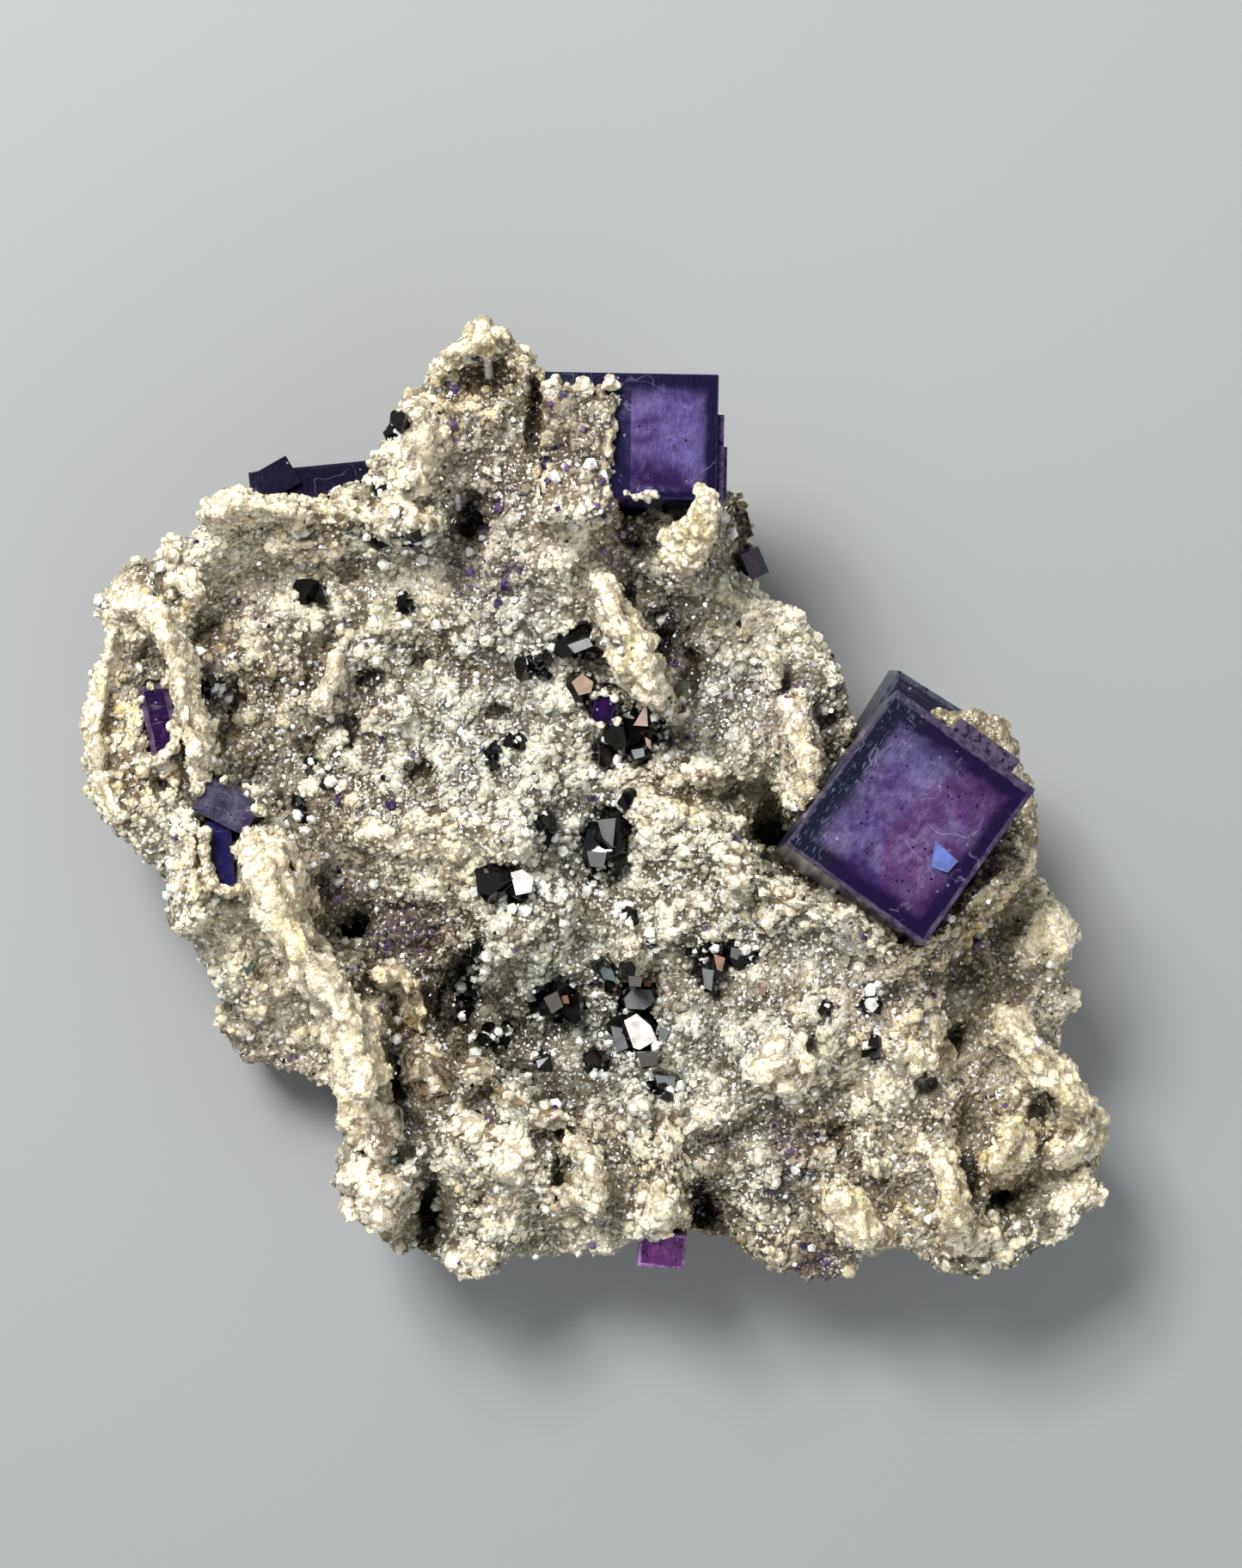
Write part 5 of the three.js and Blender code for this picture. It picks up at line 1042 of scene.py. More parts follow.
fluorites = {
    "fluorite_large": {
        "at": (30.6, -0.9), "front": 36, "turn": (-4, 1, -36),
        "cubes": [[(15.4, 17.4, 15.6), (0, 0, 0), 0], [(6.6, 5, 8), (1.9, 7.8, -1.6), 0]],
        "sides": [(0.3, 1.9), (0.45, 1.6), (0.4, 1.8), (0.75, 2.2), (0.7, 2.4)],
        "core": linear(100, 87, 124), "rim": linear(84, 77, 94), "dark": 1.0, "step": linear(80, 72, 88),
        "blue": linear(88, 85, 126), "red": [(1.0, 0.0), (0.0, 1.4), 0.75],
    },
    "fluorite_top": {
        "at": (3.45, 36.1), "front": 33, "turn": (-1, 0, -1),
        "cubes": [[(15.9, 11.5, 12), (0, 0, 0), 0], [(4, 7.8, 9), (6.55, -1.7, -0.8), 0],
                  [(4, 4.9, 7), (6.9, -3.1, -1.5), 0]],
        "sides": [(0.1, 7.6), (0.15, 1.0), (0.2, 0.6), (0.12, 1.3), (0.2, 1.4)],
        "core": linear(88, 76, 119), "rim": linear(40, 30, 66), "dark": 1.0, "step": linear(70, 60, 84),
        "band": linear(12, 8, 42), "blue": linear(84, 75, 128), "red": [(-0.7, -1.0), (-2.2, 3.6), 1.0],
        "redness": linear(28, 4, 52),
    },
    "fluorite_behind_right": {
        "at": (31.2, 6.9), "front": 18.4, "turn": (3, 2, -32),
        "cubes": [[(9.8, 9, 7), (0, 0, 0), 0], [(5, 4, 5), (6, 0.4, -1), 0]],
        "sides": evenSides(0.5, 2.6), "core": linear(64, 46, 66), "rim": linear(84, 90, 100), "dark": 0.7,
        "deep": linear(30, 26, 42), "band": linear(30, 30, 44), "step": linear(56, 40, 56), "streaks": 0.8,
    },
    "fluorite_behind_left": {
        "at": (-27.4, 30.2), "front": 15.5, "turn": (0, 4, 6),
        "cubes": [[(12, 6, 8), (0, 0, 0), 0], [(4, 3, 6), (-3.4, 2, 0.6), 24]],
        "sides": evenSides(0.3, 2.4), "core": linear(20, 14, 46), "rim": linear(32, 32, 52), "dark": 0.8,
        "deep": linear(8, 5, 22), "band": linear(10, 7, 28), "step": linear(18, 16, 36), "streaks": 0.2,
    },
    "fluorite_left_upper": {
        "at": (-42.2, 8.4), "front": 25, "turn": (0, 10, 12), "cubes": [[(2.8, 7, 5), (0, 0, 0), 0]],
        "sides": evenSides(0.5, 0.9), "core": linear(54, 22, 74), "rim": linear(108, 88, 112), "dark": 0.5,
        "deep": linear(34, 12, 48), "streaks": 0.5,
    },
    "fluorite_left_lower": {
        "at": (-35.8, 0.1), "front": 26, "turn": (6, 6, -28),
        "cubes": [[(5.6, 3.4, 6), (0, 0, 0), 0], [(2.4, 6.4, 5), (1.6, -4.4, -0.8), 32]],
        "sides": evenSides(0.1, 0.3), "core": linear(84, 80, 96), "rim": linear(84, 80, 94), "dark": 0.3,
        "deep": linear(46, 42, 62), "band": linear(44, 40, 66), "step": linear(26, 24, 74), "streaks": 0.7,
    },
    "fluorite_bottom": {
        "at": (6.5, -43), "front": 17, "turn": (6, 0, -5), "cubes": [[(4.6, 3.4, 4), (0, 0, 0), 0]],
        "sides": evenSides(0.3, 0.7), "core": linear(170, 92, 176), "rim": linear(184, 140, 196), "dark": 0.2,
        "deep": linear(122, 52, 134),
    },
    "fluorite_right_edge": {
        "at": (15.5, 23.7), "front": 16.4, "turn": (10, 16, 24), "cubes": [[(2, 2.8, 2.6), (0, 0, 0), 0]],
        "sides": evenSides(0.14, 0.5), "core": linear(58, 34, 66), "rim": linear(78, 56, 82), "dark": 0.6,
        "deep": linear(36, 18, 42),
    },
    "fluorite_middle": {
        "at": (0.8, 9.6), "front": 21, "turn": (8, 0, -14), "cubes": [[(2, 2.8, 3), (0, 0, 0), 0]],
        "sides": evenSides(0.1, 0.6), "core": linear(56, 16, 76), "rim": linear(76, 50, 96), "dark": 0.8,
        "deep": linear(24, 6, 34),
    },
}
fluoriteColours = {"band": linear(24, 12, 46), "slate": linear(20, 22, 38), "fleck": linear(88, 100, 118),
                   "violet": linear(60, 42, 90), "red": linear(72, 38, 82), "speck": linear(14, 10, 20),
                   "veil": linear(160, 152, 190), "grey": linear(140, 138, 146)}
fluoriteIor = 1.434


def perSide(tree, sign, low, high):
    # one number for the low side of an axis and another for the high side
    return fromTo(tree, sign, -0.01, 0.01, low, high)


def edgeDepths(tree, place, look):
    # depth from the nearest edge of the face that a point lies on, for the cube that it lies on:
    # once in rim widths and once in band widths
    turn = turnOf(look["turn"])
    origin = placeOf(look["at"][0], look["at"][1], look["front"])
    depths = None
    main = 1.0
    for (width, height, thick), shift, spin in reversed(look["cubes"]):
        cubeTurn = turn @ turnOf((0, 0, spin))
        middle = origin + (turn @ Vector((shift[0], shift[1], shift[2] - thick / 2))) * mm
        mapped = addNode(tree, "ShaderNodeMapping", {
            "Vector": place, "Location": middle, "Rotation": cubeTurn.to_euler("XYZ"), "Scale": (mm, mm, mm),
        }, vector_type="TEXTURE").outputs[0]
        own = splitVector(tree, mapped)
        reach = vectors(tree, "ABSOLUTE", {0: mapped})
        parts = splitVector(tree, vectors(tree, "SUBTRACT", {0: (width / 2, height / 2, thick / 2), 1: reach}))
        found = []
        for choice in (0, 1):
            sides = [side[choice] for side in look["sides"]]
            x = math2(tree, "DIVIDE", parts[0], perSide(tree, own[0], sides[0], sides[1]))
            y = math2(tree, "DIVIDE", parts[1], perSide(tree, own[1], sides[2], sides[3]))
            z = math2(tree, "DIVIDE", parts[2], sides[4])
            low = math2(tree, "MINIMUM", x, y)
            high = math2(tree, "MAXIMUM", x, y)
            found.append(math2(tree, "MAXIMUM", low, math2(tree, "MINIMUM", high, z)))
        if depths is None:
            depths = found
            continue
        nearest = math2(tree, "MINIMUM", math2(tree, "MINIMUM", parts[0], parts[1]), parts[2])
        inside = fromTo(tree, nearest, -0.16, -0.1)
        main = inside
        depths = [addNode(tree, "ShaderNodeMix", {0: inside, 2: other, 3: one}).outputs[0]
                  for other, one in zip(depths, found)]
    return depths[0], depths[1], mapped, main


def fluoriteCore(tree, own, waves, look):
    # straight-edged blocks of lavender, blue and reddish violet, with grey streaks, under cloudy haze
    colours = fluoriteColours
    clouds, parts = waves["clouds"], splitVector(tree, own)
    drift = addNode(tree, "ShaderNodeTexNoise", {"Vector": own, "Scale": 0.7, "Detail": 2.0}).outputs[1]
    shifted = vectors(tree, "MULTIPLY_ADD", {0: drift, 1: (1.6, 1.6, 1.6), 2: own})
    blocks = addNode(tree, "ShaderNodeTexVoronoi", {"Vector": shifted, "Scale": 0.24}, distance="CHEBYCHEV")
    block = splitColour(tree, blocks.outputs["Color"])
    inside = blend(tree, fromTo(tree, clouds, 0.36, 0.62), look.get("deep", colours["violet"]), look["core"])
    inside = blend(tree, fromTo(tree, block[0], 0.3, 0.9, 0.0, 0.4), inside, look.get("blue", look["core"]))
    # a redder part towards one side: direction across the face, from and to, strength
    (towardX, towardY), (nearest, furthest), most = look.get("red", [(1.0, 0.0), (0.0, 1.2), 0.3])
    sideways = math2(tree, "MULTIPLY_ADD", parts[0], towardX, times(tree, parts[1], towardY))
    sideways = math2(tree, "MULTIPLY_ADD", minus(tree, waves["broad"], 0.5), 12.0, sideways)
    redder = times(tree, fromTo(tree, sideways, nearest, furthest),
                   fromTo(tree, clouds, 0.62, 0.45, 0.5 * most, most))
    inside = blend(tree, redder, inside, look.get("redness", colours["red"]))
    stretched = addNode(tree, "ShaderNodeMapping", {"Vector": own, "Scale": (0.5, 2.4, 2.4)}).outputs[0]
    grain = noise(tree, stretched, 1.0, 6.0, {"Roughness": 0.7, "Distortion": 1.2})
    streaky = fromTo(tree, grain, 0.54, 0.66, 0.0, look.get("streaks", 0.0))
    inside = blend(tree, streaky, inside, colours["grey"])
    haze = math2(tree, "MULTIPLY_ADD", waves["streaks"], 0.4, times(tree, waves["mottle"], 0.6))
    return blend(tree, 1.0, inside, greyFrom(tree, fromTo(tree, haze, 0.34, 0.66, 0.6, 1.34)), "MULTIPLY")


def fluoriteZones(tree, place, waves, look):
    # the core inside its dark band and pale rim, and the smaller cubes that grow on it
    colours = fluoriteColours
    rimDepth, bandDepth, own, main = edgeDepths(tree, place, look)
    streaked = addNode(tree, "ShaderNodeMapping", {"Vector": own, "Scale": (3.2, 0.7, 1.2)}).outputs[0]
    waves["streaks"] = noise(tree, streaked, 1.6, 6.0)
    inside = fluoriteCore(tree, own, waves, look)
    across = splitVector(tree, own)[0]
    shaken = minus(tree, waves["wander"], 0.5)
    rimDepth = math2(tree, "MULTIPLY_ADD", shaken, 0.9, rimDepth)
    bandDepth = math2(tree, "MULTIPLY_ADD", shaken, 0.8, bandDepth)
    band = blend(tree, fromTo(tree, across, -2.4, -5.6), look.get("band", colours["band"]), colours["slate"])
    flecks = times(tree, fromTo(tree, waves["streaks"], 0.56, 0.66), fromTo(tree, across, -3.0, -6.0))
    band = blend(tree, times(tree, flecks, 0.6), band, colours["fleck"])
    lighter = blend(tree, look["dark"], inside, band)
    colour = blend(tree, fromTo(tree, bandDepth, 0.75, 1.45), lighter, inside)
    colour = blend(tree, fromTo(tree, bandDepth, 1.0, 2.6, 0.35, 0.0), colour, band)
    rim = blend(tree, fromTo(tree, waves["mottle"], 0.4, 0.6, 0.25, 0.8), band, look["rim"])
    colour = blend(tree, fromTo(tree, rimDepth, 0.85, 1.1), rim, colour)
    step = blend(tree, fromTo(tree, waves["mottle"], 0.36, 0.56), band, look.get("step", look["rim"]))
    return blend(tree, main, step, colour)


def fluoriteFlaws(tree, place, waves, colour):
    # dark and pale specks, and thin wandering cracks
    colours = fluoriteColours
    dots = addNode(tree, "ShaderNodeTexVoronoi", {"Vector": place, "Scale": 1900.0}).outputs
    chance = splitColour(tree, dots["Color"])
    crowd = fromTo(tree, waves["broad"], 0.4, 0.6, 0.93, 0.76)
    dark = times(tree, fromTo(tree, dots["Distance"], 0.3, 0.16), math2(tree, "GREATER_THAN", chance[0], crowd))
    pale = times(tree, fromTo(tree, dots["Distance"], 0.3, 0.1), fromTo(tree, chance[1], 0.94, 0.97))
    colour = blend(tree, dark, colour, colours["speck"])
    colour = blend(tree, times(tree, pale, 0.7), colour, colours["veil"])
    for scale, width in ((110.0, 0.006), (240.0, 0.008)):
        line = math2(tree, "ABSOLUTE", minus(tree, noise(tree, place, scale, 2.0), 0.5))
        crack = times(tree, fromTo(tree, line, width, 0.0), fromTo(tree, waves["clouds"], 0.5, 0.6))
        colour = blend(tree, times(tree, crack, 0.3), colour, colours["veil"])
    return colour


def fluoriteMaterial(name, look):
    material, tree, shader = newMaterial(name)
    place = objectPlace(tree)
    waves = {
        "wander": noise(tree, place, 700.0, 5.0), "broad": noise(tree, place, 80.0, 3.0),
        "clouds": noise(tree, place, 260.0, 10.0, {"Roughness": 0.66, "Distortion": 0.6}),
        "mottle": noise(tree, place, 1300.0, 6.0, {"Roughness": 0.7}),
    }
    colour = fluoriteFlaws(tree, place, waves, fluoriteZones(tree, place, waves, look))
    growth = math2(tree, "ADD", times(tree, waves["streaks"], 0.7), times(tree, waves["wander"], 0.5))
    feed(tree, shader, {
        "Base Color": colour, "IOR": fluoriteIor, "Roughness": 0.2, "Specular IOR Level": 0.3,
        "Transmission Weight": 0.2, "Normal": bumpFrom(tree, growth, 0.3, 0.14 * mm),
    })
    return material


def softenEdges(piece, width, segments=1):
    edge = piece.modifiers.new("edge", "BEVEL")
    edge.width = width
    edge.segments = segments
    edge.limit_method = "ANGLE"
    applyAll(piece)


def dressCrystal(node, material, bevel, segments=1):
    # a copy of the solid with softened edges takes its place
    crystal = copyOfNode(node, node + "_crystal")
    softenEdges(crystal, bevel, segments)
    only(crystal)
    bpy.ops.object.shade_smooth_by_angle(angle=math.radians(20))
    crystal.data.materials.append(material)
    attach(crystal, "root")
    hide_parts(node)
    return crystal


for node, look in fluorites.items():
    bevel = min(0.035, 0.015 * min(look["cubes"][0][0])) * mm
    dressCrystal(node, fluoriteMaterial(node, look), bevel)
print("fluorites dressed:", len(fluorites))


# Sphalerites: mirror-bright black crystals
def sphaleriteMaterial(name):
    material, tree, shader = newMaterial(name)
    place = objectPlace(tree)
    fine, broad = noise(tree, place, 1300.0, 4.0), noise(tree, place, 260.0, 2.0)
    colour = blend(tree, fine, linear(3, 3, 3), linear(12, 11, 10))
    colour = blend(tree, fromTo(tree, broad, 0.62, 0.74, 0.0, 0.6), colour, linear(50, 34, 24))
    feed(tree, shader, {"Base Color": colour, "Roughness": 0.08, "IOR": 1.4,
                        "Normal": bumpFrom(tree, fine, 0.35, 0.08 * mm)})
    return material


sphaleriteFinish = sphaleriteMaterial("sphalerite")
for node in [name for name in cadNodes if name.startswith("sphalerite")]:
    dressCrystal(node, sphaleriteFinish, 0.05 * mm)

shown = [piece for piece in bpy.data.objects if piece.type == "MESH" and piece.name.endswith("_crystal")]
ground = groundOf([matrixBody] + shown)


def assembled(pieces, name, material):
    piece = joined(pieces)
    piece.name = name
    bpy.ops.object.transform_apply(location=True, rotation=True, scale=True)
    return finished(piece, material)


# Tiny fluorite cubes by the place where each is seen: x, y, size
violetCubes = [
    [-9.1, 29.2, 1.25], [-14, 37.2, 1.17], [-13.5, 40.6, 1], [-11.6, 43.8, 1], [0.2, 29.2, 0.75],
    [-3.7, 29, 0.67], [-11, 27.3, 0.67], [-12, 22.8, 1.17], [-8.7, 21.7, 1.25], [-9.5, 19.8, 1],
    [7.9, 15.7, 0.67], [7.9, 14.2, 0.75], [8.4, 9.6, 0.75], [7.8, 5.8, 1], [7.9, 4.2, 0.75],
    [-19.8, 0.4, 1.17], [-24.7, 0.7, 1.08], [-40.6, -2.7, 1], [-46.2, 8.8, 0.5], [-38.7, 25.7, 0.67],
    [-10.4, -30.3, 0.92], [13.6, -3.2, 1], [-8.1, -13.8, 1], [26.1, -12.5, 0.75], [37.1, -13.2, 1],
    [39.8, -29.2, 0.83], [-10.8, 40.7, 0.58], [-14.3, 41.2, 0.67], [-3.1, 40, 0.75], [-1.2, 36.7, 0.75],
    [-3.7, 35, 0.83], [-2.7, 32.9, 0.67], [-4.7, 31.7, 0.67], [0.7, 31.7, 0.75], [0.8, 28.3, 0.67],
    [-4.3, 39.2, 0.67], [-28.5, 12.1, 0.75], [-34.5, 20, 0.58], [-24.3, 18.3, 0.67], [-22.2, 15.8, 0.58],
    [-20.6, 6.7, 0.58], [-17.7, 5, 0.58], [-11, 5.8, 0.58], [10.7, -11.7, 0.67], [17.3, -30.8, 0.75],
    [19, -33.3, 0.75], [17.8, -36.2, 1], [16.9, -37.1, 0.83], [21.5, -31.7, 0.67], [20.2, -42.5, 0.83],
    [22.3, -44.2, 0.75], [33.2, -37.1, 0.75], [0.7, -40.4, 0.75], [-0.2, -42.5, 0.83], [-7.7, -17.5, 0.58],
    [-9.8, -17.5, 0.58], [-16, -12.1, 0.67], [-18.5, -10, 0.58], [-20.2, -13.3, 0.58], [-15.2, -10, 0.5],
    [-0.2, 1, 0.83], [15.7, -4.2, 0.75], [-3.9, -29.2, 0.67], [4.8, -43.3, 0.67], [-29.8, -8.8, 0.67],
    [-31.8, 7.9, 0.5], [9, 6.7, 0.75], [7.3, 19.2, 0.58], [50.7, -32.5, 0.67], [25.7, -45, 0.75],
    [-13.1, -44.2, 0.58], [32.8, -18.3, 0.67],
]
pinkCubes = [
    [2.5, 26.5, 1], [13.6, 24.8, 0.83], [-9.3, 30.4, 0.58], [0.7, 25, 0.67], [-25, -8.8, 0.67],
    [-23.5, -15.7, 0.83], [-18.5, -22.1, 0.75], [1.9, 23.8, 0.67], [-32.7, 0, 0.58], [-20.8, -19.3, 0.75],
    [38, -13.3, 0.67], [-6, 12.5, 0.5],
]


def scatterCubes(places, name, material, seed):
    random = np.random.default_rng(seed)
    cubes = []
    for x, y, size in places:
        point, normal = landing(ground, x, y)
        if point is None:
            continue
        cube = newShape("cube", size=0.68 * size * mm, location=point + normal * 0.1 * size * mm)
        cube.rotation_euler = random.uniform(-0.7, 0.7, 3)
        softenEdges(cube, 0.05 * size * mm)
        cubes.append(cube)
    return assembled(cubes, name, material)


def cubeMaterial(name, dark, pale):
    # mottled by small clouds
    material, tree, shader = newMaterial(name)
    clouds = fromTo(tree, noise(tree, objectPlace(tree), 1100.0, 3.0), 0.36, 0.66)
    feed(tree, shader, {"Base Color": blend(tree, clouds, dark, pale), "Roughness": 0.12, "IOR": fluoriteIor,
                        "Transmission Weight": 0.25})
    return material


tinyViolet = cubeMaterial("tiny_violet", linear(40, 20, 62), linear(108, 88, 130))
tinyPink = cubeMaterial("tiny_pink", linear(150, 112, 160), linear(214, 196, 214))
scatterCubes(violetCubes, "violetCubes", tinyViolet, 7)
scatterCubes(pinkCubes, "pinkCubes", tinyPink, 8)

# Bright facets of the black crystals, each a thin cleaved plate seen at these corners, its colour a painted
# reflection: colour, metal, roughness
facetReflectionColours = {"copper": (linear(120, 82, 60), 0.0, 0.3), "white": (linear(214, 206, 200), 0.0, 0.4),
                "bronze": (linear(96, 66, 28), 0.2, 0.3),
                "teal": (linear(52, 68, 68), 0.0, 0.3), "steel": (linear(76, 80, 78), 0.0, 0.4),
                "brown": (linear(44, 36, 28), 0.0, 0.35)}
facetPlates = [
    ["copper", [[3.7, 8], [5, 10.2], [5.1, 7.9]]],
    ["bronze", [[-2.3, 12.2], [-1.3, 13.0], [-0.2, 12.2], [-0.4, 11.2], [-1.6, 10.9]]],
    ["copper", [[4.8, 6.9], [5.4, 6.5], [5.4, 5.6], [5, 6]]],
    ["teal", [[3.5, 5.6], [4.7, 5.8], [4.8, 5], [3.8, 4.7]]],
    ["brown", [[-0.8, -4.2], [1.1, -4.4], [0.8, -5.8], [-0.5, -5.7]]],
    ["white", [[-8.2, -6.3], [-7.1, -6], [-6, -6.8], [-6.2, -8.2], [-7.7, -8.5]]],
    ["copper", [[11.5, -14.2], [12.6, -14.6], [12.3, -15.9], [11.8, -15.7]]],
    ["steel", [[10.4, -15.6], [11.5, -15.8], [11.3, -17.8], [10.6, -17.5]]],
    ["teal", [[0.3, -15.3], [1.6, -15.7], [2.1, -16.9], [0.8, -16.6]]],
    ["copper", [[1.2, -17], [2.2, -17.1], [2, -17.8], [1.3, -17.6]]],
    ["brown", [[3.2, -16.3], [4.6, -16.5], [4.4, -17.4], [3.3, -17.3]]],
    ["copper", [[4.6, -16.7], [5.5, -16.8], [5.3, -17.4], [4.8, -17.3]]],
    ["steel", [[2.8, -18.5], [3.6, -17.6], [5.4, -17.7], [5.8, -18.8], [4.8, -19.6], [3, -19.5]]],
    ["white", [[2.8, -20.7], [4, -20], [5.4, -21.2], [6, -22.5], [4.3, -23.5], [3.7, -23.3]]],
    ["steel", [[1.5, -21.2], [2.6, -21.4], [3.2, -23.3], [2.1, -23.8]]],
    ["brown", [[4, -23.8], [6.2, -23.7], [6, -25], [4.5, -25.2]]],
    ["brown", [[-5, -18.5], [-3.7, -17.8], [-3.1, -19.3], [-4.2, -20]]],
    ["copper", [[-3.3, -18.3], [-2.7, -18.2], [-2.5, -19], [-3.1, -19]]],
    ["steel", [[5.8, -26], [7.8, -26.2], [7.6, -27.2], [6.1, -27.2]]],
    ["brown", [[0.2, -1.2], [2, -1], [1.7, -3.8], [0.7, -2.9]]],
    ["steel", [[-2.7, 15.8], [-0.7, 16.5], [-0.2, 15.7], [-2, 15]]],
    ["copper", [[15.9, -17.5], [16.6, -17.3], [16.5, -18.3], [16, -18.2]]],
    ["teal", [[-34.3, -15.1], [-33, -15.2], [-33.8, -16.4]]],
    ["brown", [[13.2, -13.5], [14.2, -13.8], [13.8, -14.8], [13.1, -14.5]]],
    ["steel", [[6.2, -21.2], [7.2, -21.7], [6.8, -22.7], [6.2, -22.3]]],
]


plateLook = {"above": 0.25, "thick": 1.2 * mm, "slope": (0.25, 0.12)}


def facetPlate(corners):
    # a plate over the highest ground under its corners, a little tilted
    slopeX, slopeY = plateLook["slope"]
    x = sum(corner[0] for corner in corners) / len(corners)
    y = sum(corner[1] for corner in corners) / len(corners)
    heights = [landing(ground, *corner)[0] for corner in corners + [[x, y]]]
    height = max(point.z for point in heights if point is not None) / mm + plateLook["above"]
    plate = newShape("circle", vertices=len(corners), radius=mm, fill_type="NGON")
    for (cornerX, cornerY), vertex in zip(corners, plate.data.vertices):
        tilt = slopeX * (cornerX - x) - slopeY * (cornerY - y)
        vertex.co = placeOf(cornerX, cornerY, height + tilt)
    bpy.ops.object.mode_set(mode="EDIT")
    bpy.ops.mesh.select_all(action="SELECT")
    bpy.ops.mesh.extrude_region_move(TRANSFORM_OT_translate={"value": (0, 0, -plateLook["thick"])})
    bpy.ops.mesh.select_all(action="SELECT")
    bpy.ops.mesh.normals_make_consistent(inside=False)
    bpy.ops.object.mode_set(mode="OBJECT")
    return plate


for kind, (colour, metal, rough) in facetReflectionColours.items():
    plates = [facetPlate(corners) for name, corners in facetPlates if name == kind]
    assembled(plates, kind + "Facets", plainMaterial(kind + "_facets", colour, rough, metal))

